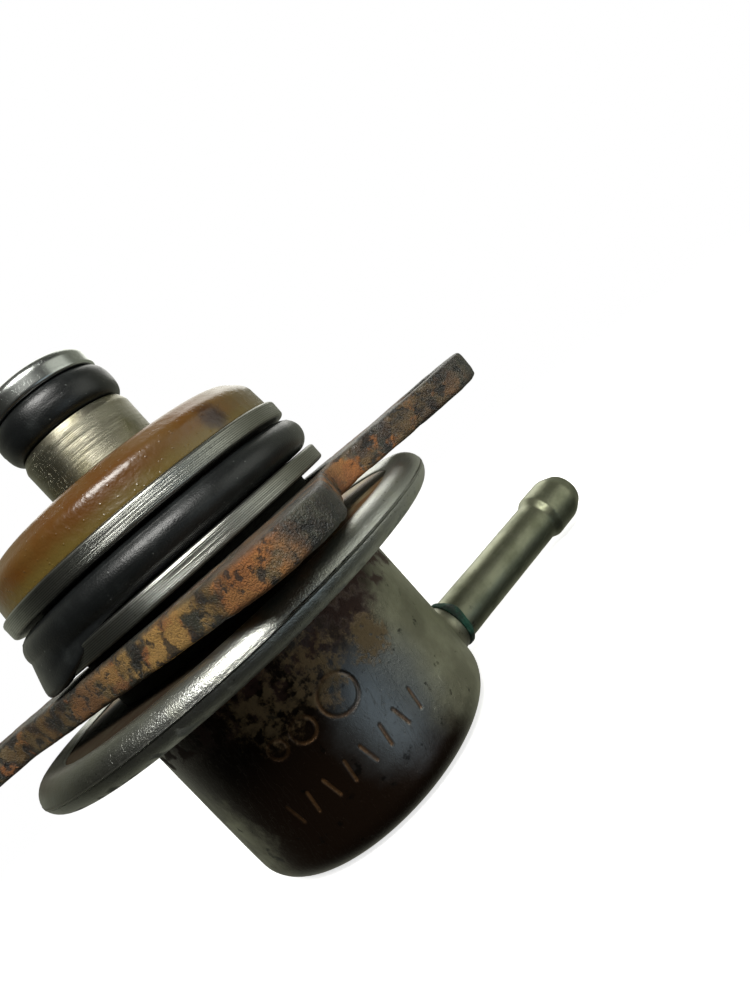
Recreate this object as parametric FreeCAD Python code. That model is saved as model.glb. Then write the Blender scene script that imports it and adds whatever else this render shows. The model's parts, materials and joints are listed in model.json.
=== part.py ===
import FreeCAD, Part
import os
from math import atan2, hypot, sin, tan

# Diaphragm pressure regulator of the plug-in kind, built the way the real one comes apart.
# The origin is the centre of the housing's flat bottom and +Z points to the return nose,
# so every turned piece shares the Z axis.  +X is the side that the vacuum nipple is on.
# All lengths are in millimetres and all heights are Z heights above the housing's bottom.

# Driving dimensions
sheet = 1.0                  # thickness of the pressed steel parts
housing_r = 14.45            # outside of the spring housing
housing_corner = 3.0         # outside bend at the housing's bottom
total_height = 50.9

bead_height = 21.78          # middle of the rolled bead
bead_section_r = 1.74        # outside of the rolled bead's section
bead_ring_r = 21.63          # circle that the section's centre follows
flange_bend = 1.4            # inside bend between the cup's wall and its flange
lip_r = 20.0                 # inner edge of the rolled lip
lip_drop = 0.5               # the lip is pressed thinner towards its edge
lip_edge = 0.2               # rounding of that edge
flange_sheet = 0.9           # thickness of the fuel shell
diaphragm_thick = 0.58
clamped_r = 21.75            # edge of the two pieces held in the bead
gap = 0.05                   # clearance between the moving valve group and its neighbours

neck_r = 11.9                # outside of the fuel shell's neck
collar_r = 13.4              # gland ring below its rear rim
groove_floor_r = 13.0
inlet_holes = 6              # fuel inlets through the shell's end wall
inlet_hole_r = 1.5
inlet_circle_r = 8.6
rear_rim_r = 16.3
front_rim_r = 16.1
rim_thick = 1.7
rear_rim_z = 27.7            # underside of the rear rim
front_rim_top = 35.0
seal_r = 16.55               # outside of the main O-ring
rim_break = 0.3              # broken edges on the rims

tube_r = 5.8                 # return tube
tube_bore_r = 3.2
tube_bottom = 26.7
recess_r = 4.4               # recess that holds the valve seat
recess_depth = 3.0
tube_shoulder = 0.8          # length over which the tube tapers to the seal groove
tube_shoulder_r = 5.45
tube_braze_leg = 1.0
nose_lip_height = 2.2
nose_groove_r = 4.1
nose_groove_length = 3.6
nose_seal_r = 6.2

strainer_r = 15.5
strainer_bore_r = 5.9
strainer_top = 40.15
strainer_wall = 0.9
strainer_ribs = 8
strainer_rib_width = 1.1
strainer_hub_wall = 1.3
strainer_rim_low = 2.6       # height over the shell at which the rim begins to curve in
strainer_rim_r = 13.6        # where the rim's curve meets the sloping face
strainer_rim_drop = 1.15     # and how far that is below the top
strainer_slope_wall = 1.5    # depth of the hub and ribs
mesh_thick = 0.2

nipple_z = 3.8               # height of the nipple's axis
nipple_r = 2.7
nipple_bore_r = 1.6
nipple_end = 40.8            # distance of the nipple's tip from the Z axis
nipple_bead_r = 3.15
nipple_bead_length = 6.5
nipple_inner_end = 12.9
nipple_tip_r = 2.25
nipple_tip_length = 2.0      # length of the rounded tip
boss_r = 2.95                # drawn boss around the nipple, at its mouth
boss_root_r = 3.4
boss_end = 16.4
boss_foot = 1.6              # depth to which the boss's cone reaches into the cup's wall
braze_length = 0.75
braze_toe = 0.06             # thickness at the braze's far edge

plate_thick = 2.9
plate_top = 27.05            # nose side of the plate, on the axis
plate_tilt = 0.6             # degrees: the plate is loose and rests a little askew
plate_turn = -27.0           # degrees from +X to the plate's first bolt ear
plate_hole_r = 13.9
bolt_circle_r = 28.0
bolt_hole_r = 2.8
ear_half = 5.0
ear_tip = 33.0
lobe_x = 15.5                # straight edge of a lobe
lobe_reach = 31.3
lobe_foot = 22.0             # where the lobe's slanted edge meets the next ear
plate_break = 0.35

spring_r = 8.6               # mean radius of the pressure spring
spring_wire = 2.0
spring_turns = 5.5
spring_low = 2.0
spring_ease = 0.3            # clearance between the spring's inside and its guides
seat_washer_r = 11.2         # outer spring seat
seat_washer_bore_r = 3.0
seat_dish = 2.0
plate_low = 20.19            # underside of the spring plate
plate_sheet = 0.8
plate_dish = 1.4
spring_plate_r = 10.6
backing_plate_r = 9.2

seat_face = 26.3             # level at which the valve closes
seat_bore_r = 2.7
seat_land_r = 3.5
seat_cone_r = 3.9
valve_disc_thick = 1.2
valve_disc_r = 4.3
stem_r = 2.5                 # valve holder's stem, through the diaphragm stack
stem_hole_r = 2.6
holder_low = 17.2
holder_r = 5.2
holder_mouth_r = 4.5
rivet_r = 3.2
rivet_high = 0.8
washer_r = 4.6
retainer_thick = 0.3
retainer_seat = 0.35         # depth under the disc in which the retainer lies
ball_r = 1.55
ball_spring_low = 19.2
ball_spring_r = 0.75
ball_spring_wire = 0.35
ball_spring_turns = 4.5
ball_spring_bore_r = 1.1
ball_spring_seat = 1.13      # from the ball's centre to the step under its socket


def rounded_edges(corners):
    """Edges of a closed outline.  A corner is (x, y, radius) and its radius may be 0."""
    count = len(corners)
    starts, ends, mids = [], [], []
    for i, (x, y, radius) in enumerate(corners):
        before = corners[i - 1]
        after = corners[(i + 1) % count]
        in_x, in_y = before[0] - x, before[1] - y
        out_x, out_y = after[0] - x, after[1] - y
        in_len, out_len = hypot(in_x, in_y), hypot(out_x, out_y)
        in_x, in_y, out_x, out_y = in_x / in_len, in_y / in_len, out_x / out_len, out_y / out_len
        half = abs(atan2(in_x * out_y - in_y * out_x, in_x * out_x + in_y * out_y)) / 2
        back = radius / tan(half) if radius else 0.0
        starts.append((x + in_x * back, y + in_y * back))
        ends.append((x + out_x * back, y + out_y * back))
        mid_len = hypot(in_x + out_x, in_y + out_y)
        reach = radius / sin(half) - radius if radius else 0.0
        mids.append((x + (in_x + out_x) / mid_len * reach, y + (in_y + out_y) / mid_len * reach))
    return starts, ends, mids


def outline_wire(corners, place):
    """Wire through rounded corners, with place turning (x, y) into a point in space."""
    starts, ends, mids = rounded_edges(corners)
    edges = []
    for i, corner in enumerate(corners):
        if corner[2]:
            edges.append(Part.Arc(place(starts[i]), place(mids[i]), place(ends[i])).toShape())
        first, second = place(ends[i]), place(starts[(i + 1) % len(corners)])
        if (second - first).Length > 1e-6:
            edges.append(Part.makeLine(first, second))
    return Part.Wire(edges)


def turned(corners):
    """Solid of revolution about Z from (radius, height, corner radius) points."""
    face = Part.Face(outline_wire(corners, lambda p: FreeCAD.Vector(p[0], 0, p[1])))
    return solid_of(face.revolve(FreeCAD.Vector(0, 0, 0), FreeCAD.Vector(0, 0, 1), 360))


def solid_of(shape):
    """The one solid in a shape, turned right side out."""
    solid = shape.Solids[0] if shape.Solids else Part.Solid(shape.Shells[0])
    if solid.Volume < 0:
        solid.reverse()
    return solid


def cylinder(radius, low, high, x=0.0, y=0.0):
    return Part.makeCylinder(radius, high - low, FreeCAD.Vector(x, y, low))


def lay_along_x(shape, height):
    """Turn a piece made about Z so that its axis lies along +X at the given height."""
    shape = shape.copy()
    shape.rotate(FreeCAD.Vector(0, 0, 0), FreeCAD.Vector(0, 1, 0), 90)
    shape.translate(FreeCAD.Vector(0, 0, height))
    return shape


def around(count, shape):
    """Copies of a shape spread evenly about Z."""
    copies = []
    for i in range(count):
        copy = shape.copy()
        copy.rotate(FreeCAD.Vector(0, 0, 0), FreeCAD.Vector(0, 0, 1), 360.0 * i / count)
        copies.append(copy)
    return copies


def coil(mean_r, wire, turns, low, high):
    """Coil spring whose end turns are ground flat at low and high."""
    pitch = (high - low - wire) / turns
    start = low + wire / 2 - pitch * 0.35
    height = pitch * (turns + 0.7)
    helix = Part.makeHelix(pitch, height, mean_r)
    helix.translate(FreeCAD.Vector(0, 0, start))
    section = Part.Wire(Part.makeCircle(wire / 2, FreeCAD.Vector(mean_r, 0, start),
                                        FreeCAD.Vector(0, 1, 0)))
    body = Part.Wire(helix.Edges).makePipeShell([section], True, True)
    slab = cylinder(mean_r + 2 * wire, low, high)
    return solid_of(body.common(slab))


def spring_housing():
    """Pressed cup whose flange is rolled over the fuel shell as a round bead."""
    low = bead_height - bead_section_r
    high = bead_height + bead_section_r
    inside = bead_section_r - sheet
    outer_r = bead_ring_r + bead_section_r
    cup = turned([
        (0, 0, 0),
        (housing_r, 0, housing_corner),
        (housing_r, low, flange_bend),
        (outer_r, low, bead_section_r * 0.999),
        (outer_r, high, bead_section_r * 0.999),
        (lip_r, high - lip_drop, lip_edge),
        (lip_r, high - sheet, lip_edge),
        (bead_ring_r + inside, high - sheet, inside * 0.999),
        (bead_ring_r + inside, low + sheet, inside * 0.999),
        (housing_r - sheet, low + sheet, 0.5),
        (housing_r - sheet, sheet, housing_corner - sheet),
        (0, sheet, 0),
    ])
    boss = Part.makeCone(boss_root_r, boss_r, boss_end - housing_r + boss_foot,
                         FreeCAD.Vector(housing_r - boss_foot, 0, nipple_z), FreeCAD.Vector(1, 0, 0))
    cavity = turned([
        (0, sheet, 0),
        (housing_r - sheet, sheet, housing_corner - sheet),
        (housing_r - sheet, low, 0),
        (0, low, 0),
    ])
    bore = lay_along_x(cylinder(nipple_r, nipple_inner_end - 1.0, boss_end + 1), nipple_z)
    return solid_of(cup.fuse(boss.cut(cavity)).cut(bore))


def vacuum_nipple():
    """Tube with one rounded hose bead at its tip."""
    neck = nipple_end - nipple_bead_length
    tube = turned([
        (nipple_bore_r, nipple_inner_end, 0.2),
        (nipple_r, nipple_inner_end, 0.2),
        (nipple_r, neck, 0.8),
        (nipple_bead_r, neck + 0.9, 0.5),
        (nipple_bead_r, nipple_end - nipple_tip_length, 2.5),
        (nipple_tip_r, nipple_end, 0.8),
        (nipple_bore_r, nipple_end, 0.3),
    ])
    return lay_along_x(tube, nipple_z)


def nipple_braze():
    """Fillet of braze metal where the nipple leaves the drawn boss."""
    fillet = turned([
        (nipple_r, boss_end, 0),
        (boss_r, boss_end, 0),
        (boss_r - 0.1, boss_end + 0.25, 0.1),
        (nipple_r + braze_toe, boss_end + braze_length, 0),
        (nipple_r, boss_end + braze_length, 0),
    ])
    return lay_along_x(fillet, nipple_z)


def outer_spring_seat():
    """Dished washer that centres the pressure spring on the housing's bottom."""
    guide_r = spring_r - spring_wire / 2 - spring_ease
    guide_high = spring_low + seat_dish
    return turned([
        (seat_washer_bore_r, sheet, 0),
        (seat_washer_r, sheet, 0.2),
        (seat_washer_r, spring_low, 0.2),
        (guide_r, spring_low, 0.3),
        (guide_r - 0.6, guide_high, 0.5),
        (seat_washer_bore_r, guide_high, 0.3),
    ])


def fuel_shell():
    """Pressed shell: clamped flange, neck and end wall with its ring of inlet holes."""
    low = bead_height - bead_section_r + sheet + diaphragm_thick
    high = low + flange_sheet
    bend = 1.0
    top = front_rim_top
    shell = turned([
        (neck_r - sheet, low, bend),
        (clamped_r, low, 0.15),
        (clamped_r, high, 0.15),
        (neck_r, high, bend),
        (neck_r, top, 0.8),
        (tube_r, top, 0),
        (tube_r, top - sheet, 0),
        (neck_r - sheet, top - sheet, 0.5),
    ])
    inlet = cylinder(inlet_hole_r, top - 2 * sheet, top + sheet, x=inlet_circle_r)
    for hole in around(inlet_holes, inlet):
        shell = shell.cut(hole)
    return solid_of(shell)


def gland_ring():
    """Turned ring pressed on the neck, with two rims and the seal groove between them."""
    low = bead_height + bead_section_r - sheet
    rear_top = rear_rim_z + rim_thick
    front_low = front_rim_top - rim_thick
    return turned([
        (neck_r, low, 1.1),
        (collar_r, low, 0.2),
        (collar_r, rear_rim_z, 0.3),
        (rear_rim_r, rear_rim_z, rim_break),
        (rear_rim_r, rear_top, rim_break),
        (groove_floor_r, rear_top, 0.3),
        (groove_floor_r, front_low, 0.3),
        (front_rim_r, front_low, rim_break),
        (front_rim_r, front_rim_top, rim_break),
        (neck_r, front_rim_top, 0),
    ])


def return_tube():
    """Tube with a rolled nose lip, the nose seal's groove and a seat recess at its inner end."""
    top = total_height
    groove_top = top - nose_lip_height
    groove_low = groove_top - nose_groove_length
    recess_high = tube_bottom + recess_depth
    return turned([
        (tube_bore_r, recess_high, 0),
        (recess_r, recess_high, 0),
        (recess_r, tube_bottom, 0),
        (tube_r, tube_bottom, 0.3),
        (tube_r, groove_low - tube_shoulder, 0.6),
        (tube_shoulder_r, groove_low, 0.15),
        (nose_groove_r, groove_low, 0.3),
        (nose_groove_r, groove_top, 0.3),
        (tube_r, groove_top, 0.3),
        (tube_r, top, 0.9),
        (tube_bore_r, top, 0.9),
    ])


def tube_braze():
    """Fillet of braze metal between the return tube and the shell's end wall."""
    low = front_rim_top - sheet
    return turned([
        (tube_r, low, 0),
        (tube_r, low - tube_braze_leg, 0),
        (tube_r + tube_braze_leg, low, 0),
    ])


def valve_seat():
    """Lapped seat pressed into the return tube's inner end."""
    return turned([
        (seat_bore_r, seat_face, 0.1),
        (seat_land_r, seat_face, 0.1),
        (seat_cone_r, tube_bottom, 0),
        (recess_r, tube_bottom, 0),
        (recess_r, tube_bottom + recess_depth, 0.2),
        (seat_bore_r, tube_bottom + recess_depth, 0),
    ])


def strainer_windows():
    """Ring-shaped cutter for the openings between hub and rim, less the ribs."""
    base = front_rim_top
    inner = strainer_bore_r + 2.0
    outer = strainer_rim_r - 0.7
    window = cylinder(outer, base - 1, strainer_top + 1)
    window = window.cut(cylinder(inner, base - 2, strainer_top + 2))
    rib = Part.makeBox(strainer_r, strainer_rib_width, 2 * (strainer_top - base),
                       FreeCAD.Vector(0, -strainer_rib_width / 2, base - 1))
    for bar in around(strainer_ribs, rib):
        window = window.cut(bar)
    return window


def strainer_frame():
    """Moulded ring: hub, rim and ribs, open between the ribs where the mesh shows."""
    base = front_rim_top
    hub_r = strainer_bore_r + strainer_hub_wall
    rim_inner_r = strainer_r - strainer_wall
    frame = turned([
        (strainer_bore_r, base, 0),
        (hub_r, base, 0),
        (hub_r, strainer_top - strainer_slope_wall, 0.3),
        (strainer_rim_r - 1.0, strainer_top - strainer_slope_wall - 0.95, 0.5),
        (rim_inner_r - 0.1, base + 1.7, 0.8),
        (rim_inner_r, base, 0),
        (strainer_r, base, 0.1),
        (strainer_r - 0.25, base + strainer_rim_low, 1.5),
        (strainer_rim_r, strainer_top - strainer_rim_drop, 1.7),
        (strainer_bore_r, strainer_top, 0.3),
    ])
    return solid_of(frame.cut(strainer_windows()))


def strainer_mesh():
    """Woven disc that lies under the ribs, drawn as one thin cone."""
    inner_r = strainer_bore_r + strainer_hub_wall + 0.05
    outer_r = strainer_r - strainer_wall - 0.1
    inner_low = front_rim_top + 2.35
    outer_low = front_rim_top + 1.15
    return turned([
        (inner_r, inner_low, 0),
        (outer_r, outer_low, 0),
        (outer_r, outer_low + mesh_thick, 0),
        (inner_r, inner_low + mesh_thick, 0),
    ])


def main_o_ring():
    """Round seal ring in the gland, just proud of both rims."""
    section = (seal_r - groove_floor_r - 0.02) / 2
    centre = (rear_rim_z + front_rim_top) / 2 - 0.05
    ring = Part.makeTorus(seal_r - section, section)
    ring.translate(FreeCAD.Vector(0, 0, centre))
    return ring


def nose_o_ring():
    """Seal ring on the nose, squashed flat by use: an ellipse turned about Z."""
    along = (nose_groove_length - 0.16) / 2
    out = (nose_seal_r - nose_groove_r - 0.02) / 2
    centre = total_height - nose_lip_height - nose_groove_length / 2
    ellipse = Part.Ellipse(FreeCAD.Vector(0, 0, 0), along, out).toShape()
    face = Part.Face(Part.Wire([ellipse]))
    face.rotate(FreeCAD.Vector(0, 0, 0), FreeCAD.Vector(1, 0, 0), 90)
    face.rotate(FreeCAD.Vector(0, 0, 0), FreeCAD.Vector(0, 1, 0), 90)
    face.translate(FreeCAD.Vector(nose_seal_r - out, 0, centre))
    return solid_of(face.revolve(FreeCAD.Vector(0, 0, 0), FreeCAD.Vector(0, 0, 1), 360))


def mounting_plate():
    """Blanked plate with two bolt ears and two overhanging lobes, the same turned by half a turn."""
    half_outline = [
        (ear_tip, -ear_half, ear_half * 0.98),
        (ear_tip, ear_half, ear_half * 0.98),
        (lobe_x, ear_half, 2.5),
        (lobe_x, lobe_reach, 5.0),
        (-lobe_foot, ear_half, 3.0),
    ]
    corners = half_outline + [(-x, -y, radius) for x, y, radius in half_outline]
    wire = outline_wire(corners, lambda p: FreeCAD.Vector(p[0], -p[1], 0))
    plate = Part.Face(wire).extrude(FreeCAD.Vector(0, 0, -plate_thick))
    plate = plate.makeFillet(plate_break, [e for e in plate.Edges if abs(e.BoundBox.ZLength) < 1e-6])
    plate = plate.cut(cylinder(plate_hole_r, -2 * plate_thick, plate_thick))
    for side in (1, -1):
        plate = plate.cut(cylinder(bolt_hole_r, -2 * plate_thick, plate_thick, x=side * bolt_circle_r))
    plate.rotate(FreeCAD.Vector(0, 0, 0), FreeCAD.Vector(0, 1, 0), plate_tilt)
    plate.rotate(FreeCAD.Vector(0, 0, 0), FreeCAD.Vector(0, 0, 1), plate_turn)
    plate.translate(FreeCAD.Vector(0, 0, plate_top))
    return solid_of(plate)


def diaphragm():
    """Rubber-coated cloth disc, clamped at its edge and pierced for the valve holder."""
    low = bead_height - bead_section_r + sheet
    return turned([
        (stem_hole_r, low, 0),
        (clamped_r, low, 0.15),
        (clamped_r, low + diaphragm_thick, 0.15),
        (stem_hole_r, low + diaphragm_thick, 0),
    ])


def pressure_spring():
    """Main spring between the outer seat and the spring plate."""
    return coil(spring_r, spring_wire, spring_turns, spring_low, plate_low - gap)


def spring_plate():
    """Pressed plate on the air side that takes the spring's thrust."""
    high = plate_low + plate_sheet
    guide_r = spring_r - spring_wire / 2 - spring_ease
    return turned([
        (stem_r, plate_low - plate_dish, 0),
        (guide_r - 0.5, plate_low - plate_dish, 0.4),
        (guide_r, plate_low, 0.2),
        (spring_plate_r, plate_low, 0.3),
        (spring_plate_r, high, 0.3),
        (stem_r, high, 0),
    ])


def backing_plate():
    """Washer on the fuel side of the diaphragm."""
    low = bead_height - bead_section_r + sheet + diaphragm_thick + gap
    high = low + plate_sheet
    return turned([
        (stem_r, low, 0),
        (backing_plate_r, low, 0.3),
        (backing_plate_r, high, 0.3),
        (stem_r, high, 0),
    ])


def valve_holder():
    """Riveted stud through the diaphragm stack, with a socket for the ball and its spring."""
    head_low = bead_height - bead_section_r + sheet + diaphragm_thick + gap + plate_sheet
    disc_low = seat_face - gap - valve_disc_thick
    mouth_high = seat_face - gap - 0.1
    mouth_low = disc_low - retainer_seat
    rivet_top = holder_low + rivet_high
    ball_low = disc_low - ball_r - ball_spring_seat
    socket_r = ball_r + gap
    return turned([
        (0, holder_low, 0),
        (rivet_r, holder_low, 0.5),
        (rivet_r, rivet_top, 0.2),
        (stem_r, rivet_top, 0),
        (stem_r, head_low, 0),
        (holder_r, head_low, 0.3),
        (holder_r, mouth_high, 0.3),
        (holder_mouth_r, mouth_high, 0.1),
        (holder_mouth_r, mouth_low, 0),
        (socket_r, mouth_low, 0),
        (socket_r, ball_low, 0),
        (ball_spring_bore_r, ball_low, 0),
        (ball_spring_bore_r, ball_spring_low, 0),
        (0, ball_spring_low, 0),
    ])


def clamp_washer():
    """Washer that the rivet head draws up against the spring plate."""
    low = holder_low + rivet_high
    high = plate_low - plate_dish
    return turned([
        (stem_r, low, 0),
        (washer_r, low, 0.2),
        (washer_r, high, 0.2),
        (stem_r, high, 0),
    ])


def valve_ball():
    """Ball that lets the valve disc settle square on its seat."""
    centre = seat_face - gap - valve_disc_thick - ball_r
    ball = Part.makeSphere(ball_r)
    ball.translate(FreeCAD.Vector(0, 0, centre))
    return ball


def ball_spring():
    """Small spring under the ball."""
    top = seat_face - gap - valve_disc_thick - 2 * ball_r
    return coil(ball_spring_r, ball_spring_wire, ball_spring_turns, ball_spring_low, top)


def valve_disc():
    """Lapped disc that closes the seat."""
    high = seat_face - gap
    low = high - valve_disc_thick
    return turned([
        (0, low, 0),
        (valve_disc_r, low, 0.1),
        (valve_disc_r, high, 0.25),
        (0, high, 0),
    ])


def disc_retainer():
    """Split ring under the disc's edge that keeps it in the holder."""
    low = seat_face - gap - valve_disc_thick - retainer_seat
    high = low + retainer_thick
    outer_r = holder_mouth_r - gap
    return turned([
        (stem_hole_r, low, 0),
        (outer_r, low, 0),
        (outer_r, high, 0.1),
        (stem_hole_r, high, 0.1),
    ])


def main():
    os.makedirs("parts", exist_ok=True)
    makers = [
        spring_housing, vacuum_nipple, nipple_braze, outer_spring_seat, fuel_shell, gland_ring,
        return_tube, tube_braze, valve_seat, strainer_frame, strainer_mesh, main_o_ring,
        nose_o_ring, mounting_plate, diaphragm, pressure_spring, spring_plate, backing_plate,
        valve_holder, clamp_washer, valve_ball, ball_spring, valve_disc, disc_retainer,
    ]
    for maker in makers:
        shape = maker()
        box = shape.BoundBox
        print(maker.__name__, "valid", shape.isValid(), "volume", round(shape.Volume, 1),
              "z", round(box.ZMin, 2), round(box.ZMax, 2), "x", round(box.XMin, 2), round(box.XMax, 2))
        shape.exportStep("parts/" + maker.__name__ + ".step")


main()
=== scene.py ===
import bpy
import bmesh
import json
import numpy as np
from math import ceil, cos, pi, radians, sin, sqrt, tan
from mathutils import Euler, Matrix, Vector


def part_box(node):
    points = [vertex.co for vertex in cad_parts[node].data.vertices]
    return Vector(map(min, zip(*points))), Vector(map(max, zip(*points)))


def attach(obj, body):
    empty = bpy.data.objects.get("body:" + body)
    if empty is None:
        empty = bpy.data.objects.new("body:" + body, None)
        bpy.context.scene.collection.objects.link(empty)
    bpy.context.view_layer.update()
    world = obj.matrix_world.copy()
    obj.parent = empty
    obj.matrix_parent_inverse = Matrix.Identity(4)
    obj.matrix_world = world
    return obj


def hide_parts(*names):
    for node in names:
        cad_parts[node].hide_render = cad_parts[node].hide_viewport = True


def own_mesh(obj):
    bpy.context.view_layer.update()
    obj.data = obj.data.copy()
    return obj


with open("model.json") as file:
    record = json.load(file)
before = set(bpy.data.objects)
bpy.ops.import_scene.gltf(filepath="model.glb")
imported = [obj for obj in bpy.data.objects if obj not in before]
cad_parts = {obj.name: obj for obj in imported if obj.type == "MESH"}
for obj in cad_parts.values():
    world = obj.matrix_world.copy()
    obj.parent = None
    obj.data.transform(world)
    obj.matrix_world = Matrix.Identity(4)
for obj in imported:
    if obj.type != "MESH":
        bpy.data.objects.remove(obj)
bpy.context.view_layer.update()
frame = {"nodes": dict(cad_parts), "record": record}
nodes = frame["nodes"]
mm = 0.001
print("frame loaded")


# ---- places that the frame gives, in mm
def nodeBox(name):
    low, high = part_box(name)
    return np.array(low) / mm, np.array(high) / mm


housingLow, housingHigh = nodeBox("spring_housing")
glandLow, glandHigh = nodeBox("gland_ring")
strainerLow, strainerHigh = nodeBox("strainer_frame")
tubeLow, tubeHigh = nodeBox("return_tube")
sealLow, sealHigh = nodeBox("main_o_ring")
noseSealLow, noseSealHigh = nodeBox("nose_o_ring")
nippleLow, nippleHigh = nodeBox("vacuum_nipple")
nippleZ = (nippleLow[2] + nippleHigh[2]) / 2
beadR = housingHigh[1]                      # outside of the rolled bead
faceAngle = -117.0                          # degrees from +X to the side that is looked at
sideAngle = faceAngle + 90.0                # and to its right-hand edge


# ---- shapes
def smooth(low, high, value):
    # 0 below low, 1 above high, an S curve between
    t = np.clip((value - low) / (high - low), 0, 1)
    return t * t * (3 - 2 * t)


def lumps(points, size, seed):
    # value noise: random heights on a cubic lattice of the given size, blended by S curves, from -1 to 1
    side = 32
    lattice = np.random.default_rng(seed).random((side, side, side)) * 2 - 1
    q = points / size
    cell = np.floor(q).astype(int)
    t = q - cell
    t = t * t * (3 - 2 * t)
    total = np.zeros(points.shape[:-1])
    for corner in range(8):
        step = np.array([corner & 1, corner >> 1 & 1, corner >> 2 & 1])
        weight = np.prod(np.where(step, t, 1 - t), axis=-1)
        at = (cell + step) % side
        total += weight * lattice[at[..., 0], at[..., 1], at[..., 2]]
    return total


def outline(corners):
    # closed outline through (radius, height, rounding, step) corners.  A rounded corner is an arc
    # touching both runs, and the arc and the run after it are divided into pieces of about one step.
    spots = np.array([c[:2] for c in corners], float)
    count = len(spots)
    arcs = []
    for i, corner in enumerate(corners):
        rounding, step = corner[2], corner[3]
        toLast = spots[i - 1] - spots[i]
        toNext = spots[(i + 1) % count] - spots[i]
        toLast, toNext = toLast / np.hypot(*toLast), toNext / np.hypot(*toNext)
        if rounding == 0:
            arcs.append(spots[i:i + 1])
            continue
        half = np.arccos(np.clip(toLast @ toNext, -1, 1)) / 2
        centre = spots[i] + (toLast + toNext) / np.hypot(*(toLast + toNext)) * rounding / sin(half)
        start = spots[i] + toLast * rounding / tan(half) - centre
        end = spots[i] + toNext * rounding / tan(half) - centre
        turn = pi - 2 * half
        pieces = max(3, ceil(rounding * turn / step))
        share = np.linspace(0, 1, pieces + 1)[:, None]
        arcs.append(centre + (np.sin((1 - share) * turn) * start + np.sin(share * turn) * end) / sin(turn))
    parts = []
    for i, arc in enumerate(arcs):
        after = arcs[(i + 1) % count][0]
        pieces = max(1, ceil(np.hypot(*(after - arc[-1])) / corners[i][3]))
        run = arc[-1] + (after - arc[-1]) * np.linspace(0, 1, pieces, endpoint=False)[1:, None]
        parts += [arc, run]
    line = np.concatenate(parts)
    keep = np.hypot(*(line - np.roll(line, 1, axis=0)).T) > 1e-5
    return line[keep]


def turnedGrid(line, segments):
    # each outline point (r, z) goes round as (r cos a, r sin a, z)
    angle = np.linspace(0, 2 * pi, segments, endpoint=False)
    x = line[:, :1] * np.cos(angle)
    y = line[:, :1] * np.sin(angle)
    z = np.repeat(line[:, 1:], segments, axis=1)
    return np.stack([x, y, z], axis=-1)


def gridFaces(rows, columns, start=0):
    # quads between neighbours of a grid that is closed both ways
    i, j = np.meshgrid(np.arange(rows), np.arange(columns), indexing="ij")
    nextI, nextJ = (i + 1) % rows, (j + 1) % columns
    quads = np.stack([i * columns + j, i * columns + nextJ, nextI * columns + nextJ, nextI * columns + j], -1)
    return quads.reshape(-1, 4) + start


def makePiece(name, grids, material, body="regulator", stands=(), mask=None):
    # joins closed grids of points in mm into one mesh in metres, with poles merged and faces outwards
    points, quads, start = [], [], 0
    for grid in grids:
        rows, columns = grid.shape[:2]
        points.append(grid.reshape(-1, 3))
        quads.append(gridFaces(rows, columns, start))
        start += rows * columns
    mesh = bpy.data.meshes.new(name)
    mesh.from_pydata((np.concatenate(points) * mm).tolist(), [], np.concatenate(quads).tolist())
    if mask is not None:
        addMask(mesh, mask)
    return finishPiece(name, mesh, material, body, stands)


def addMask(mesh, mask):
    # a value from 0 to 1 per point for the finish to read
    mesh.attributes.new("mask", "FLOAT", "POINT").data.foreach_set("value", mask)


def finishPiece(name, mesh, material, body, stands):
    work = bmesh.new()
    work.from_mesh(mesh)
    bmesh.ops.remove_doubles(work, verts=work.verts, dist=1e-7)
    bmesh.ops.dissolve_degenerate(work, edges=work.edges, dist=1e-8)
    bmesh.ops.recalc_face_normals(work, faces=work.faces)
    work.to_mesh(mesh)
    work.free()
    mesh.polygons.foreach_set("use_smooth", np.ones(len(mesh.polygons), bool))
    mesh.materials.append(material)
    piece = bpy.data.objects.new(name, mesh)
    bpy.context.scene.collection.objects.link(piece)
    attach(piece, body)
    if stands:
        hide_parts(*stands)
    print(name, len(mesh.vertices), "points")
    return piece


# ---- shader helpers
def addNode(tree, kind, settings=None, **inputs):
    # an input named n3 is the fourth socket; any other name is the socket's own, _ for a space
    made = tree.nodes.new(kind)
    for key, value in (settings or {}).items():
        setattr(made, key, value)
    for key, value in inputs.items():
        numbered = key[0] == "n" and key[1:].isdigit()
        socket = made.inputs[int(key[1:])] if numbered else made.inputs[key.replace("_", " ")]
        if isinstance(value, bpy.types.NodeSocket):
            tree.links.new(value, socket)
        else:
            socket.default_value = value
    return made


def mixColour(tree, mask, first, second):
    first = (*first, 1) if isinstance(first, tuple) else first
    second = (*second, 1) if isinstance(second, tuple) else second
    mixed = addNode(tree, "ShaderNodeMix", {"data_type": "RGBA"}, n0=mask, n6=first, n7=second)
    return mixed.outputs[2]


def mixValue(tree, mask, first, second):
    return addNode(tree, "ShaderNodeMix", {"data_type": "FLOAT"}, n0=mask, n2=first, n3=second).outputs[0]


def maths(tree, operation, first, second=0.0):
    return addNode(tree, "ShaderNodeMath", {"operation": operation}, n0=first, n1=second).outputs[0]


def ramp(tree, value, low, high, start=0.0, end=1.0):
    settings = {"interpolation_type": "SMOOTHSTEP"}
    return addNode(tree, "ShaderNodeMapRange", settings, Value=value, From_Min=low, From_Max=high,
                   To_Min=start, To_Max=end).outputs[0]


def makeGroup(name, inputs, outputs):
    tree = bpy.data.node_groups.new(name, "ShaderNodeTree")
    for label, kind, value in inputs:
        socket = tree.interface.new_socket(label, in_out="INPUT", socket_type="NodeSocket" + kind)
        socket.default_value = value
    for label, kind in outputs:
        tree.interface.new_socket(label, in_out="OUTPUT", socket_type="NodeSocket" + kind)
    return tree, tree.nodes.new("NodeGroupInput").outputs, tree.nodes.new("NodeGroupOutput").inputs


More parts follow.
